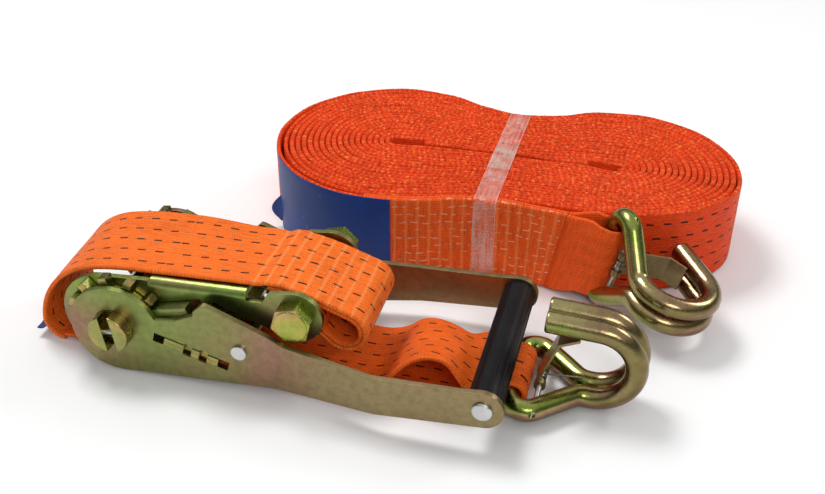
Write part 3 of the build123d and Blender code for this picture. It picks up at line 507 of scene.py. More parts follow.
def tape_film(name):
    """Packing tape: clear, with pale streaks along it and at its edges."""
    n = Nodes(name)
    split = n.parts(n.new("ShaderNodeUVMap", uv_map="webbing").outputs[0])
    streaks = n.texture(1.0, 3.0, 0.6, vector=n.flat(n.times(split["X"], 700.0), n.times(split["Y"], 60.0)))
    blotch = n.texture(120.0, 3.0)
    edge = n.level(n.math("ABSOLUTE", split["X"]), 0.0056, 0.0064, 0.0, 0.16)
    alpha = n.add(n.add(n.level(streaks, 0.35, 0.7, 0.08, 0.30), edge),
                  n.level(blotch, 0.4, 0.7, -0.04, 0.08))
    colour = n.ramp(blotch, (0.3, (0.80, 0.50, 0.42)), (0.7, (0.92, 0.74, 0.66)))
    return n.set(Base_Color=colour, Alpha=alpha, Normal=n.bump(streaks, 0.25, 0.0004),
                 Roughness=0.28, Coat_Weight=0.3, Coat_Roughness=0.2)


def woven_tag(name):
    n = Nodes(name)
    threads = n.texture(1400.0, 2.0)
    colour = n.ramp(threads, (0.3, (0.008, 0.022, 0.10)), (0.7, (0.02, 0.055, 0.22)))
    return n.set(Base_Color=colour, Roughness=0.75, Normal=n.bump(threads, 0.4, 0.0003))


# ------------------------------------------------------------------ webbing

DARK = (0.028, 0.012, 0.008)
THREAD = (0.90, 0.55, 0.40)
RIB_HIGHLIGHT = (1.0, 0.42, 0.14)
YARN_WIDTH, YARN_BEAT = 1.5, 1.3
ROW_PITCH, DASH_PITCH, DASH_SHARE, ROWS_REACH = 9.0, 10.0, 0.43, 21.5
THREAD_WIDTH, STITCH_SHARE = 0.65, 0.62
EDGE_START, EDGE_END = 23.6, 24.4


class Cloth(Nodes):
    """Woven polyester, with its places across and along the strap in millimetres."""

    def __init__(self, name, base, grain, fleck_scale):
        super().__init__(name)
        split = self.parts(self.new("ShaderNodeUVMap", uv_map="webbing").outputs[0])
        self.across = self.times(split["X"], 1000.0)
        self.along = self.times(split["Y"], 1000.0)
        self.base = base
        self.deep_and_shade = shaded(base, 0.62)
        self.pale_and_highlight = tuple(min(1.0, c * 1.22 + 0.012) for c in base)
        column = self.math("SINE", self.times(self.across, 2 * pi / YARN_WIDTH))
        parity = self.math("SIGN", self.math("SINE", self.times(self.across, pi / YARN_WIDTH)))
        beat = self.math("SINE", self.times_add(self.along, 2 * pi / YARN_BEAT,
                                                self.times(parity, pi / 2)))
        self.weave = self.add(self.times(column, 0.5), self.times(beat, 0.5))
        self.strands = self.texture(1.0, 3.0, 0.6, vector=self.stretched(*grain))
        self.fleck = self.texture(1.0, 2.0, 0.6, vector=self.stretched(*fleck_scale))
        cloud = self.texture(45.0, 3.0, 0.55)
        tone = self.times_add(cloud, 0.25, self.times(self.fleck, 0.3))
        tone = self.times_add(self.strands, 0.5, self.times_add(self.weave, 0.09, tone))
        self.colour = self.ramp(tone, (0.36, self.deep_and_shade), (0.52, base), (0.72, self.pale_and_highlight))
        self.height = self.add(self.weave, self.times(self.strands, 1.4))

    def stretched(self, across_scale, along_scale):
        return self.flat(self.times(self.across, across_scale), self.times(self.along, along_scale))

    def paint(self, share, colour):
        self.colour = self.mix(share, self.colour, colour)

    def dash_rows(self, dark):
        """Dark slanted dashes, staggered from row to row, on faint lines along the strap."""
        place = self.times_add(self.across, 1 / ROW_PITCH, 100.5)
        row = self.math("FLOOR", place)
        beside = self.math("SUBTRACT", self.math("FRACT", place), 0.5)
        uneven = self.texture(1.0, 2.0, 0.5, vector=self.flat(row, self.times(self.along, 0.05)))
        step = self.times_add(row, 0.5, self.times(self.along, 1 / DASH_PITCH))
        phase = self.math("FRACT", self.add(step, self.level(uneven, 0.3, 0.7, -0.05, 0.05)))
        slant = self.times(self.math("SUBTRACT", phase, 0.2), 0.06)
        thin = self.under(self.math("ABSOLUTE", self.add(beside, slant)), 0.062)
        inside = self.under(self.math("ABSOLUTE", self.across), ROWS_REACH)
        line = self.level(self.math("ABSOLUTE", beside), 0.02, 0.07, 0.16, 0.0)
        self.paint(self.times(line, inside), self.deep_and_shade)
        dash = self.times(self.times(thin, self.under(phase, DASH_SHARE)), inside)
        self.paint(self.times(dash, 0.96), dark)

    def stitch_rows(self, start, end):
        """White thread: short stitches in rows along the strap, broken where it sinks in."""
        lane = self.times_add(self.across, 1 / LANE, 100.5)
        row = self.math("FLOOR", lane)
        drift = self.times(self.math("SINE", self.times_add(self.along, 0.35, row)), 0.10)
        beside = self.off(self.math("FRACT", self.add(lane, drift)), 0.5)
        near = self.under(beside, 0.5 * THREAD_WIDTH / LANE)
        beat = self.math("FRACT", self.times_add(self.along, 1 / RIB_PITCH, self.times(row, 0.37)))
        stitch = self.times(near, self.under(beat, STITCH_SHARE))
        sunk = self.texture(1.0, 2.0, 0.6, vector=self.stretched(0.11, 0.09))
        shown = self.times(self.level(sunk, 0.44, 0.54), self.within(self.along, start, end))
        self.paint(self.times(self.times(stitch, shown), 0.6), THREAD)

    def sewn_ribs(self, start, end, highlight_share):
        """Pulled-in lines across a doubled part that is sewn through, with a painted highlight along their
        crests.
        """
        waver = self.times(self.texture(1.0, 1.0, 0.5, vector=self.stretched(0.06, 0.03)), 0.25)
        wave = self.math("PINGPONG", self.times_add(self.along, 1 / RIB_PITCH, waver), 0.5)
        ridge = self.times(self.level(wave, 0.0, 0.20, 1.0, 0.0), self.within(self.along, start, end))
        # painted highlight along each rib's crest
        self.paint(self.times(ridge, highlight_share), RIB_HIGHLIGHT)
        return ridge

    def selvedge(self, bead, loop_height, glint):
        """A row of small yarn loops along each edge, with painted shade between the loops and a painted
        highlight on them; glint adds painted glints, for edges seen from above, and painted shade in the
        gaps.
        """
        edge = self.level(self.math("ABSOLUTE", self.across), EDGE_START, EDGE_END)
        beads = self.math("SINE", self.times_add(self.along, 2 * pi / bead, self.times(self.fleck, 9.0)))
        loops = self.times(edge, beads)
        # painted shade in the troughs between the loops and a painted highlight on their tops
        self.paint(self.times(self.level(loops, -1.0, 0.3, 0.3 + 0.4 * glint, 0.0), edge), self.deep_and_shade)
        self.paint(self.times(self.level(loops, 0.55, 1.0, 0.0, 0.4), edge), self.pale_and_highlight)
        if glint:
            # painted glints on the loops, and painted shade in the gaps between the coil's turns
            self.paint(self.times(edge, self.level(self.fleck, 0.56, 0.68, 0.0, glint)), (1.0, 0.33, 0.06))
            self.paint(self.times(edge, self.level(self.fleck, 0.34, 0.44, glint, 0.0)),
                       shaded(self.base, 0.4))
        self.height = self.times_add(loops, loop_height, self.height)


def webbing(name, base, dark=DARK, rows=True, stitches=None, ribs=None, sheen=0.03, bead=1.8,
            loop_height=0.9, grain=(0.9, 0.12), fleck_scale=(1.1, 0.8), glint=0.0):
    """Webbing with dashes, stitches (start, end) and sewn ribs (start, end, highlight share) if asked; the
    ribs get a painted highlight on their crests.
    """
    n = Cloth(name, base, grain, fleck_scale)
    if rows:
        n.dash_rows(dark)
    if stitches:
        n.stitch_rows(*stitches)
    ridge = n.sewn_ribs(*ribs) if ribs else None
    n.selvedge(bead, loop_height, glint)
    if ribs:
        n.height = n.times_add(ridge, 1.6, n.height)
    return n.set(Base_Color=n.colour, Normal=n.bump(n.height, 0.45, 0.00035),
                 Roughness=n.level(n.strands, 0.3, 0.7, 0.42, 0.62), Specular_IOR_Level=0.14,
                 Sheen_Weight=sheen, Sheen_Roughness=0.4, Sheen_Tint=(1.0, 0.35, 0.12, 1.0))


# ------------------------------------------------------------------ the materials

ZINC_HEAD = (0.62, 0.62, 0.62)
# the hooks' zinc colours with painted shade and highlight: the dark stops go to faces that look down, the
# bright gold to faces that look up
HOOK_BANDS_WITH_SHADE = ((0.0, (0.10, 0.06, 0.03)), (0.14, (0.15, 0.19, 0.035)), (0.30, (0.26, 0.145, 0.095)),
              (0.46, (0.36, 0.21, 0.13)), (0.58, (0.36, 0.30, 0.12)), (0.70, (0.17, 0.24, 0.04)),
              (0.86, (0.32, 0.38, 0.09)), (1.0, (0.50, 0.43, 0.19)))


def hook_finish(node):
    """Bands along the legs from painted shade and highlight by how each face turns, and rose towards the bend
    of the claws.
    """
    low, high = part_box(node)
    blush = ((0.22, 0.105, 0.075), low.x + 0.42 * (high.x - low.x), high.x, 0.62)
    return passivated(node + "_passivated", HOOK_BANDS_WITH_SHADE, rough=0.19, painted_turn_share=0.8, patch=11.0,
                      side=-0.22, blush=blush)


plate_rose = (0.33, 0.185, 0.125)
plate_metal = passivated(
    "plate_passivated", zinc_bands((0.235, 0.285, 0.085), (0.265, 0.24, 0.095), plate_rose),
    rough=0.34, painted_turn_share=0.10, blush=(plate_rose, ORIGIN.x + 0.02, ORIGIN.x + 0.15, 0.6))
frame_metal = passivated(
    "frame_passivated", zinc_bands((0.25, 0.34, 0.085), (0.27, 0.28, 0.10), (0.27, 0.20, 0.12)),
    rough=0.33, painted_turn_share=0.12, patch=10.0)
wheel_metal = passivated(
    "wheel_passivated", zinc_bands((0.31, 0.31, 0.10), (0.48, 0.36, 0.12), (0.38, 0.24, 0.16)),
    rough=0.22, painted_turn_share=0.4, patch=30.0)
bolt_metal = passivated(
    "bolt_passivated", zinc_bands((0.32, 0.40, 0.07), (0.48, 0.38, 0.10), (0.42, 0.24, 0.18)),
    rough=0.2, painted_turn_share=0.3, patch=26.0)
stop_metal = passivated(
    "stop_bar_steel", zinc_bands((0.235, 0.275, 0.10), (0.265, 0.24, 0.105), (0.31, 0.205, 0.145)),
    rough=0.3, painted_turn_share=0.10, heads=(ZINC_HEAD, 0.0395))
rivet_metal = plain_metal("rivet_zinc", ZINC_HEAD, 0.3)
spring_metal = plain_metal("spring_wire", (0.42, 0.40, 0.34), 0.25)

finishes = (
    (frame_metal, ("base_frame",)),
    (plate_metal, ("lock_pawl", "handle_plate_near", "handle_plate_far", "anchor_sleeve",
                   "short_hook_latch", "long_hook_latch")),
    (wheel_metal, ("drive_pawl", "mandrel_half_front", "mandrel_half_rear", "ratchet_wheel_near",
                   "ratchet_wheel_far")),
    (bolt_metal, ("anchor_bolt", "anchor_nut")),
    (stop_metal, ("stop_bar",)),
    (rivet_metal, ("grip_rivet", "mandrel_pins", "short_hook_latch_pin", "long_hook_latch_pin")),
    (spring_metal, ("lock_pawl_spring", "drive_pawl_springs", "short_hook_latch_spring",
                    "long_hook_latch_spring")),
    (black_plastic("grip_black"), ("grip_sleeve",)),
    (hook_finish("short_hook"), ("short_hook",)),
    (hook_finish("long_hook"), ("long_hook",)),
)
for material, names in finishes:
    for name in names:
        nodes[name].data.materials.clear()
        nodes[name].data.materials.append(material)

top_webbing = webbing("webbing_top", (0.86, 0.150, 0.012), ribs=(8.0, 100.0, 0.34))
low_webbing = webbing("webbing_low", (0.80, 0.12, 0.010))
# the coil's turns are seen on edge, each selvedge a twisted row of yarn loops with painted glints on them and
# painted shade in the gaps between turns
coil_webbing = webbing("webbing_coil", (0.80, 0.058, 0.004), dark=(0.02, 0.008, 0.006), sheen=0.02,
                       bead=3.2, loop_height=2.6, glint=0.6, fleck_scale=(1.2, 0.45))
sewn_webbing = webbing("webbing_sewn", (0.84, 0.100, 0.010), rows=False, grain=(0.10, 1.0),
                       stitches=(17.0, 126.0), ribs=(14.0, 128.0, 0.30))
eye_webbing = webbing("webbing_eye", (0.86, 0.100, 0.010), rows=False, grain=(0.08, 1.0))
label_material = glossy_film("label_navy", (0.010, 0.045, 0.24))
tape_material = tape_film("tape_clear")
tag_material = woven_tag("tag_navy")

# ------------------------------------------------------------------ short strap, over the frame

neck = (BOLT_X + NECK * cos(radians(EXIT)), BOLT_Z + NECK * sin(radians(EXIT)), EXIT)
sewn = Route(*neck, spacing=1.0)
sewn.ahead(7.0).turn(9.5, 203.0).ahead(14.0).turn(100.0, 14.0).ahead(12.0)
top = Route(*shifted(sewn.places[-1], THICK / 2), spacing=1.6)
top.turn(25.0, 180 + TOP_SLOPE - top.heading).ahead(44.0)
bend = Route(top.x, top.y, top.heading, spacing=1.4).ahead(14.0).turn(150.0, 10.0).turn(42.0, 71.5)
steep = cos(radians(360 - bend.heading))
bend.turn((bend.y - THICK / 2) / (1 - steep), 360 - bend.heading)
kink_v = length_of(sewn.places)
top_v = length_of(top.places)

# the outer layer of the sewn part steps down past the inner one's end and runs on alone
outer_line = [shifted(p, THICK * (smooth(kink_v - 7.0, kink_v, far) - 0.5)) for p, far in walked(sewn.places)]
inner_line = [shifted(p, THICK / 2) for p, far in walked(sewn.places) if far < kink_v - 8.0]


def leaning(x, y, a, place, station):
    """The far edge stands a little higher towards the left end, and the middle sags."""
    rise = 3.6 * (a + HALF) / (2 * HALF) * (1 - smooth(20.0, 62.0, x)) * smooth(12.0, 40.0, y)
    sag = -0.7 * (1 - (a / HALF) ** 2) * bump(-30.0, 20.0, 66.0, x) * smooth(40.0, 50.0, y)
    wave = 0.35 * wander(x * 0.035, a * 0.05, 2.0)
    return at(x, a, y + rise + sag + wave)


def upper_relief(a, s, up, place):
    """Ribs on the sewn part, a skewed fold where it ends, and a pucker after that."""
    sewn_in = 1 - smooth(kink_v - 9.0, kink_v - 4.0, s)
    ribs = abs(sin(pi * (s + 2.0) / RIB_PITCH)) ** 0.6 - 0.7
    skew = s - kink_v - 0.06 * a
    fold = 0.7 * exp(-((skew + 8.0) / 2.0) ** 2) - 0.5 * exp(-((skew - 1.5) / 2.4) ** 2)
    pucker = 0.5 * exp(-((skew - 12.0) / 3.0) ** 2) * wander(a * 0.06, 3.0)
    return up * sewn_in * 0.22 * ribs - fold + pucker


def inner_relief(a, s, up, place):
    return up * 0.12 * sin(2 * pi * s / RIB_PITCH)


def bend_relief(a, s, up, place):
    return 0.25 * smooth(0.0, 18.0, s) * wander(s * 0.03, a * 0.06, 5.0)


strap_top = ribbon("short_strap_top", outer_line[:-1] + top.places, top_webbing, leaning,
                   relief=upper_relief, closed=(True, False))
strap_inner = ribbon("short_strap_top_inner", inner_line, low_webbing, leaning, relief=inner_relief,
                     columns=16)
eye = eye_places(neck, (BOLT_X, BOLT_Z), SLEEVE + EYE_PLAY + THICK / 2, THICK / 2)
strap_bolt_eye = ribbon("short_strap_bolt_eye", eye, low_webbing, lying, columns=16)
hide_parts("short_strap_upper")
for piece in (strap_top, strap_inner, strap_bolt_eye):
    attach(piece, "frame")

strap_bend = ribbon("short_strap_bend_web", bend.places, top_webbing, leaning, start_v=kink_v + top_v,
                    relief=bend_relief, closed=(False, True))
inner_bend = Route(bend.x, 1.5 * THICK, 0.0, spacing=1.6).ahead(LOW_START - bend.x)
strap_bend_inner = ribbon("short_strap_bend_inner", inner_bend.places, low_webbing, lying, columns=16)
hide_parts("short_strap_bend")

# ------------------------------------------------------------------ short strap, lower run

HUMP_START, HUMP_TOP, HUMP_END = 122.0, 156.5, 181.0
HUMP_HEIGHT, HUMP_FOOT, RISE_R = 16.3, 11.6, 16.0

under = Route(LOW_START, THICK / 2, 0.0, spacing=2.0).ahead(HOOK1_X - LOW_START)
over = Route(LOW_START, 1.5 * THICK, 0.0, spacing=1.6).ahead(HUMP_START - LOW_START)
over.sway(HUMP_TOP - HUMP_START, HUMP_HEIGHT).sway(HUMP_END - HUMP_TOP, HUMP_FOOT - over.y)
# a bend upwards and a straight run, which meets the eye round the hook's bar
bar_along, bar_across = HOOK1_X - HUMP_END, HOOK1_Z - HUMP_FOOT - RISE_R
bar_reach = hypot(bar_along, bar_across)
climb = degrees(atan2(bar_across, bar_along) + asin((RISE_R + EYE_R) / bar_reach))
over.turn(RISE_R, climb).ahead(sqrt(bar_reach**2 - (RISE_R + EYE_R) ** 2))
over.spacing = 0.9
over.turn(EYE_R, -180 - climb)


def hook_half(share, place):
    """Half the width, which narrows towards the hook's bar."""
    return 17.2 + 7.8 * (1 - smooth(176.0, 190.0, place[0]))


def humping(x, y, a, place, station):
    """The hump twists towards the viewer, and folds a little."""
    twist = 8.5 * bump(128.0, 166.0, 179.0, x) * smooth(2.0, 12.0, y)
    lift = -a / HALF * twist + 1.2 * bump(134.0, 158.0, 178.0, x) * smooth(3.0, 9.0, y)
    fold = 0.9 * wander(x * 0.05, a * 0.06, 7.0) * bump(124.0, 150.0, 186.0, x)
    return at(x, a, max(0.02, y + lift + fold))


def low_relief(a, s, up, place):
    """Ribs on the sewn part, and gathers across the strap near the eye."""
    near_eye = smooth(174.0, 190.0, place[0])
    gathers = 0.55 * near_eye * cos(2 * pi * a / 7.0)
    ribs = 0.3 * (abs(sin(pi * s / 9.6)) - 0.6) * (1 - smooth(130.0, 138.0, s))
    return up * ribs + gathers * (0.6 if up > 0 else 0.3)


def under_relief(a, s, up, place):
    return 0.08 * sin(s) if up > 0 else 0.0


strap_over = ribbon("short_strap_low_over", over.places, low_webbing, humping, half=hook_half,
                    relief=low_relief, start_v=3.0)
strap_under = ribbon("short_strap_low_under", under.places, low_webbing, lying, half=hook_half,
                     columns=16, relief=under_relief)
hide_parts("short_strap_lower")
for piece in (strap_over, strap_under):
    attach(piece, "handle")

# ------------------------------------------------------------------ tag in the seam

TAG_CURL, TAG_THICK = 0.9, 0.5
tag_low, tag_high = in_layout(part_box("strap_tag"))
tag_corner = Vector((tag_high.x + 0.2, tag_low.y, tag_high.z - 0.7))
tag_along = Vector((tag_low.x - tag_high.x - 0.6, 0, tag_low.z - tag_high.z + 1.2))
tag_across = Vector((0, tag_high.y - tag_low.y, 0))
tag_normal = tag_along.cross(tag_across).normalized()


def tag_place(u, v, side):
    """A little folded cloth that curls along its length."""
    curl = TAG_CURL * sin(pi * u * 0.9) + 0.25 * TAG_CURL * sin(2 * pi * v)
    point = tag_corner + tag_along * u + tag_across * v + tag_normal * (curl + TAG_THICK * side)
    return point, (u * tag_along.length, v * tag_across.length)


tag = thin_sheet("seam_tag", 8, 8, tag_place, tag_material)
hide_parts("strap_tag")

# ------------------------------------------------------------------ coil


def lobe(turn):
    return FIRST + PITCH * turn


coil = Route(SPREAD, -lobe(0) + FRONT_DIP, 0.0, spacing=2.6)
lobe_marks = []
for turn in range(TURNS):
    radius = lobe(turn)
    if turn:
        coil.sway(SPREAD + DENT, FRONT_DIP + PINCH * turn).ahead(SPREAD - DENT)
    front = radius - FRONT_DIP - PINCH * turn
    coil.quarter(radius, front, SHARE * front)
    coil.turn(radius, 90)
    pinch = DIP + PINCH * turn
    coil.sway(SPREAD, pinch).sway(SPREAD, -pinch)
    growth = PITCH if turn < TURNS - 1 else DOUBLE
    lobe_marks.append(len(coil.places))
    coil.turn(radius + growth / 2, 180)
outer_start = lobe_marks[-2] + 30


def coil_thick(share, place):
    """Packed turns nearly touch at the lobes; the outermost turn has the webbing's own thickness."""
    packed = 2.46 + 0.62 * smooth(10.0, 60.0, abs(place[0]))
    return packed if share * (len(coil.places) - 1) < outer_start else THICK + 0.1


def standing(x, y, a, place, station):
    """The coil: the webbing stands on edge, and each turn's rim sits a little higher or lower."""
    ripple = 0.55 * wander(x * 0.045, y * 0.045, station * 0.002)
    loops = 0.16 * sin(station * 2.3) + 0.22 * wander(station * 0.33, 4.0)
    rim = (ripple + loops) * smooth(0.0, HALF, a)
    centre = 1.5 * exp(-(hypot(abs(x) - SPREAD, y) / 14.0) ** 2) * smooth(0.0, HALF, a)
    return at(COIL_X + x, COIL_Y + y, COIL_Z + HALF + a + rim - centre)


def coil_relief(a, s, up, place):
    return 0.16 * wander(s * 0.21, a * 0.12, 3.0)


coil_piece = ribbon("long_strap_turns", coil.places, coil_webbing, standing, thick=coil_thick,
                    columns=8, edge=1.35, relief=coil_relief)
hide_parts("long_strap_coil")
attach(coil_piece, "frame")


def core_back(x):
    """The back of the innermost turn, at a place along the slit."""
    far = min(abs(x), SPREAD)
    radius = (SPREAD**2 + DIP**2) / (4 * DIP)
    if far <= SPREAD / 2:
        return lobe(0) - DIP + (radius - sqrt(radius**2 - far**2))
    return lobe(0) - (radius - sqrt(radius**2 - (SPREAD - far) ** 2))


core_front = -lobe(0) + FRONT_DIP
core_line = [(x, (core_back(x) + core_front) / 2, 0.0) for x in range(-50, 51, 2)]


def core_thick(share, place):
    """What the innermost turn leaves of the slit, less its own webbing."""
    return max(0.5, core_back(place[0]) - core_front - 2.35)


# the folded start fills the slit between the two lobes' cores
core = ribbon("long_strap_core", core_line, coil_webbing, standing, thick=core_thick, half=24.6, columns=8)
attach(core, "frame")

# ------------------------------------------------------------------ sewn end and its eye

last_radius = lobe(TURNS - 1)
front_dent = FRONT_DIP + PINCH * (TURNS - 1)
dent_span = SPREAD + DENT
beside = Route(-SPREAD, -last_radius, 0.0, spacing=1.2).sway(dent_span, front_dent)
doubled = [shifted(p, -THICK / 2 - SEWN_GAP - THICK) for p in beside.places]
doubled = [(COIL_X + x, COIL_Y + y, heading) for x, y, heading in doubled]
sewn_end_v = length_of(doubled)

long_swing = joints["long_hook_swing"]
bar = Vector(long_swing["axis"])
bar = (bar if bar.z > 0 else -bar).normalized()
slope = Vector((bar.x / bar.z, bar.y / bar.z))
hook_level = (Vector(long_swing["pos_m"]) - ORIGIN) * 1000
HOOK2 = (hook_level.x, hook_level.y)
gap_x, gap_y = HOOK2[0] - doubled[-1][0], HOOK2[1] - doubled[-1][1]


def left_to_go(angle):
    """From the end of a bend to the right to the hook's bar, in X and Y."""
    return (gap_x - END_BEND * sin(radians(angle)), gap_y + END_BEND * (1 - cos(radians(angle))))


def miss(angle):
    """How far the straight way on from the bend passes beside the bar."""
    x, y = left_to_go(angle)
    return abs(x * sin(radians(angle)) + y * cos(radians(angle)))


swing = min((step * 0.05 for step in range(1200)), key=miss)
end_neck = Route(doubled[-1][0], doubled[-1][1], 0.0, spacing=1.2)
end_neck.turn(END_BEND, -swing).ahead(hypot(*left_to_go(swing)) - TAIL)
end_line = doubled + end_neck.places[1:]
front_line = [shifted(p, -THICK / 2) for p in end_line]
back_line = [shifted(p, THICK / 2) for p in end_line]
end_loop = eye_places(end_neck.places[-1], HOOK2, ROD + LONG_EYE_PLAY + THICK / 2, THICK / 2)


def from_bar(place):
    return hypot(place[0] - HOOK2[0], place[1] - HOOK2[1])


def leant(x, y, z, place, height):
    """The sewn end stands upright at the coil and leans with the hook's bar at its eye."""
    lean_by = (z - hook_level.z) * smooth(178.0, 214.0, place[0])
    return at(x + slope.x * lean_by, y + slope.y * lean_by, height)


def end_lift(x, y, a, place, station):
    z = COIL_Z + HALF + a
    rise = 0.35 * wander(station * 0.05, 9.0) * smooth(0.0, HALF, a)
    return leant(x, y, z, place, max(0.2, z + rise))


def eye_lift(x, y, a, place, station):
    z = COIL_Z + HALF + a + 3.0 * (1 - smooth(9.0, 26.0, from_bar(place)))
    return leant(x, y, z, place, max(0.4, z))


def end_relief(a, s, up, place):
    """Sewn through: ribs across the strap, pulled in where the stitch rows run."""
    sewn_in = smooth(14.0, 20.0, s) * (1 - smooth(sewn_end_v + 10.0, sewn_end_v + 16.0, s))
    ribs = 0.55 * (abs(sin(pi * s / RIB_PITCH + 0.4 * wander(a * 0.08, s * 0.02))) ** 0.8 - 0.6)
    lanes = -0.26 * abs(cos(pi * a / LANE)) ** 6
    return up * (sewn_in * (ribs + lanes) + 0.10 * wander(s * 0.12, a * 0.07, 2.0))


def eye_half(share, place):
    return HALF - 3.2 * (1 - smooth(8.0, 15.0, from_bar(place)))


def eye_relief(a, s, up, place):
    return 0.35 * cos(2 * pi * a / 8.0) * (1 - smooth(8.0, 24.0, from_bar(place)))


end_front = ribbon("long_strap_end_front", front_line, sewn_webbing, end_lift, relief=end_relief, columns=30)
end_back = ribbon("long_strap_end_back", back_line, eye_webbing, end_lift, columns=12)
end_eye = ribbon("long_strap_end_eye", end_loop, eye_webbing, eye_lift, half=eye_half, relief=eye_relief)
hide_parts("long_strap_eye")
for piece in (end_front, end_back, end_eye):
    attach(piece, "frame")

# ------------------------------------------------------------------ label and its loose corner

left_radius = last_radius + DOUBLE / 2
wrap_start = Route(coil.x, coil.y, 180.0).turn(left_radius, -LABEL_WRAP)
label_route = Route(wrap_start.x, wrap_start.y, wrap_start.heading + 180, spacing=1.5)
label_route.turn(left_radius, LABEL_WRAP)
label_bend = (dent_span**2 + front_dent**2) / (4 * front_dent) + DOUBLE
label_route.turn(label_bend, degrees(LABEL_RUN / label_bend))
label_places = [shifted(p, -THICK / 2 - 0.3) for p in label_route.places]


def label_lift(x, y, a, place, station):
    corner = 1 - smooth(0.0, 9.0, station)
    edge = smooth(0.0, 1.0, -a / HALF) * corner
    return at(COIL_X + x, COIL_Y + y, COIL_Z + HALF + a + 0.2 * wander(station * 0.05, 1.0) - 0.3 * edge)


def label_relief(a, s, up, place):
    return 0.16 * wander(s * 0.06, a * 0.05, 6.0) - 0.02


label = ribbon("label_wrap", label_places, label_material, label_lift, thick=0.34, half=24.9, columns=14,
               edge=0.15, relief=label_relief)
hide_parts("strap_label")
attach(label, "frame")

FLAP_WIDTH, FLAP_DROP = 7.5, 9.0
flap_low, flap_high = in_layout(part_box("label_flap"))
flap_depth = flap_high.y - flap_low.y
flap_rise = flap_high.z - flap_low.z + 1.0


def flap_place(u, v, side):
    """A narrow tongue of film, widest below its middle, which bulges away from the coil."""
    width = FLAP_WIDTH * sin(pi * min(0.98, max(0.04, u)) ** 0.8) + 0.3
    x = flap_high.x + 0.5 - width * v
    y = flap_low.y + flap_depth * (0.35 + 0.4 * v) + 0.3 * side
    z = flap_low.z - FLAP_DROP + flap_rise * u
    return (x, y + 0.6 * sin(pi * v), z), (x, z)


flap = thin_sheet("label_corner", 10, 5, flap_place, label_material, flipped=True)
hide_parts("label_flap")
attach(flap, "frame")

# ------------------------------------------------------------------ tape round the waist

TAPE_INSET, TAPE_START, TAPE_LAP = 0.2, 6.0, 2.5
tape_low, tape_high = in_layout(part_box("coil_tape"))
tape_x = (tape_low.x + tape_high.x) / 2
tape_depth = tape_high.y - tape_low.y - 2 * TAPE_INSET
tape_rise = tape_high.z - tape_low.z - 2 * TAPE_INSET
tape_line = Route(tape_high.y - TAPE_START, tape_low.z + TAPE_INSET, 180.0, spacing=1.5)
tape_line.ahead(tape_depth - TAPE_START - TAPE_CORNER)
for side in (tape_rise, tape_depth, tape_rise):
    tape_line.turn(TAPE_CORNER, -90).ahead(side - 2 * TAPE_CORNER)
tape_line.turn(TAPE_CORNER, -90).ahead(TAPE_LAP)


def tape_lift(x, y, a, place, station):
    """Over the coil's top the tape rumples, and runs a little askew."""
    on_top = smooth(tape_high.z - 3.0, tape_high.z - 1.0, y)
    rumple = 0.22 * wander(x * 0.16, a * 0.1, 4.0) * on_top
    tilt = 0.6 * on_top * (x - tape_low.y) / tape_depth
    return at(tape_x + a + tilt, x, y + rumple)


def tape_relief(a, s, up, place):
    return 0.05 * wander(s * 0.1, a * 0.4, 8.0)


tape = ribbon("coil_tape_loop", tape_line.places, tape_material, tape_lift, thick=0.22, half=6.5,
              columns=10, edge=0.1, relief=tape_relief)
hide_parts("coil_tape")
lap = [shifted(p, 0.28) for p in tape_line.places if p[1] > tape_high.z - 1.0 and 128.0 < p[0] < 160.0]
tape_lap = ribbon("coil_tape_lap", lap, tape_material, tape_lift, thick=0.18, half=6.6, columns=10,
                  edge=0.1)
for piece in (tape, tape_lap):
    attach(piece, "frame")

# ------------------------------------------------------------------ the bend and the tag, with their placing baked into their meshes

for piece in (strap_bend, strap_bend_inner, tag):
    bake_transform(piece)

# ------------------------------------------------------------------ floor, light, camera

FLOOR_HALF, FLOOR_Z = 4.0, -0.0004
SKY_BANDS = ((0.10, 1.0), (0.20, 0.16), (0.38, 0.24), (0.72, 1.0))
SKY_STRENGTH = 0.62
FOCAL_PIXELS, PHOTO_WIDTH, SENSOR = 1073.26, 825, 36.0
CAMERA_ROLL = 0.325


def pale_floor():
    corners = ((-1, -1), (1, -1), (1, 1), (-1, 1))
    mesh = bpy.data.meshes.new("floor")
    mesh.from_pydata([(x * FLOOR_HALF, y * FLOOR_HALF, FLOOR_Z) for x, y in corners], [], [(0, 1, 2, 3)])
    floor = bpy.data.objects.new("floor", mesh)
    bpy.context.scene.collection.objects.link(floor)
    n = Nodes("floor_pale")
    tone = n.ramp(n.texture(3.0, 2.0), (0.3, (0.86, 0.86, 0.86)), (0.7, (0.89, 0.89, 0.89)))
    mesh.materials.append(n.set(Base_Color=tone, Roughness=0.9))
    return floor


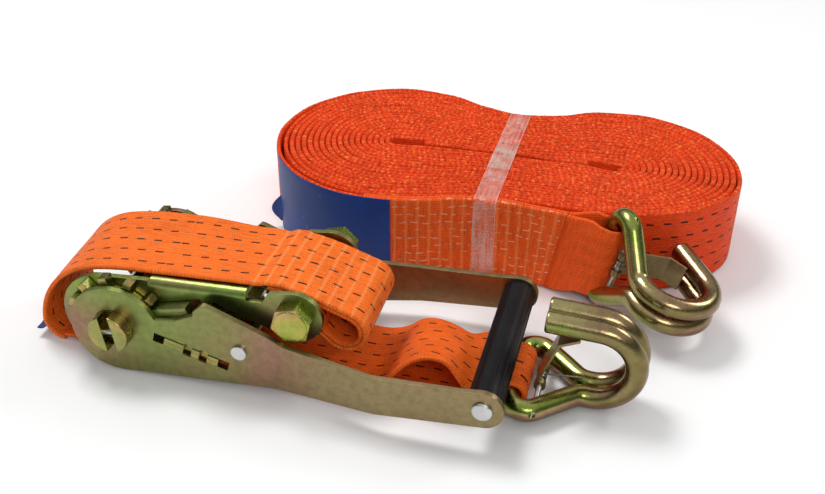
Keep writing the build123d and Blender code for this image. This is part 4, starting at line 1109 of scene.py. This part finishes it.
def studio_world():
    """Pale overhead and at the horizon, with a dark band between for the metal to mirror."""
    world = bpy.data.worlds.new("studio")
    bpy.context.scene.world = world
    world.use_nodes = True
    tree = world.node_tree
    tree.nodes.clear()
    out = tree.nodes.new("ShaderNodeOutputWorld")
    background = tree.nodes.new("ShaderNodeBackground")
    sky = tree.nodes.new("ShaderNodeTexCoord")
    upward = tree.nodes.new("ShaderNodeSeparateXYZ")
    shade = tree.nodes.new("ShaderNodeValToRGB")
    fill_ramp(shade.color_ramp, [(height, (grey, grey, grey)) for height, grey in SKY_BANDS])
    tree.links.new(sky.outputs["Generated"], upward.inputs[0])
    tree.links.new(upward.outputs["Z"], shade.inputs["Fac"])
    tree.links.new(shade.outputs["Color"], background.inputs["Color"])
    background.inputs["Strength"].default_value = SKY_STRENGTH
    tree.links.new(background.outputs[0], out.inputs[0])


def lamp(name, offset, aim, size, power):
    data = bpy.data.lights.new(name, "AREA")
    data.shape = "RECTANGLE"
    data.size, data.size_y = size
    data.energy = power
    obj = bpy.data.objects.new(name, data)
    obj.location = aim + Vector(offset)
    obj.rotation_euler = (-Vector(offset)).to_track_quat("-Z", "Y").to_euler()
    bpy.context.scene.collection.objects.link(obj)


def photo_camera():
    data = bpy.data.cameras.new("camera")
    data.sensor_width = SENSOR
    data.lens = FOCAL_PIXELS / PHOTO_WIDTH * SENSOR
    data.clip_start = 0.01
    camera = bpy.data.objects.new("camera", data)
    camera.location = at(251.5, -414.26, 351.0)
    forward = Vector((-0.2130, 0.8123, -0.5431)).normalized()
    level = forward.to_track_quat("-Z", "Y").to_matrix().to_4x4()
    camera.rotation_euler = (level @ Matrix.Rotation(radians(CAMERA_ROLL), 4, "Z")).to_euler()
    bpy.context.scene.collection.objects.link(camera)
    return camera


floor = pale_floor()
studio_world()
middle = at(120.0, 80.0, 20.0)
lamp("key", (-0.45, 0.25, 1.05), middle, (0.45, 0.35), 8.0)
lamp("front", (0.5, -1.0, 0.8), middle, (0.5, 0.3), 4.0)
lamp("back", (0.8, 0.6, 0.7), middle, (0.4, 0.3), 3.0)
bpy.context.scene.camera = photo_camera()
bpy.context.scene.view_settings.view_transform = "Standard"
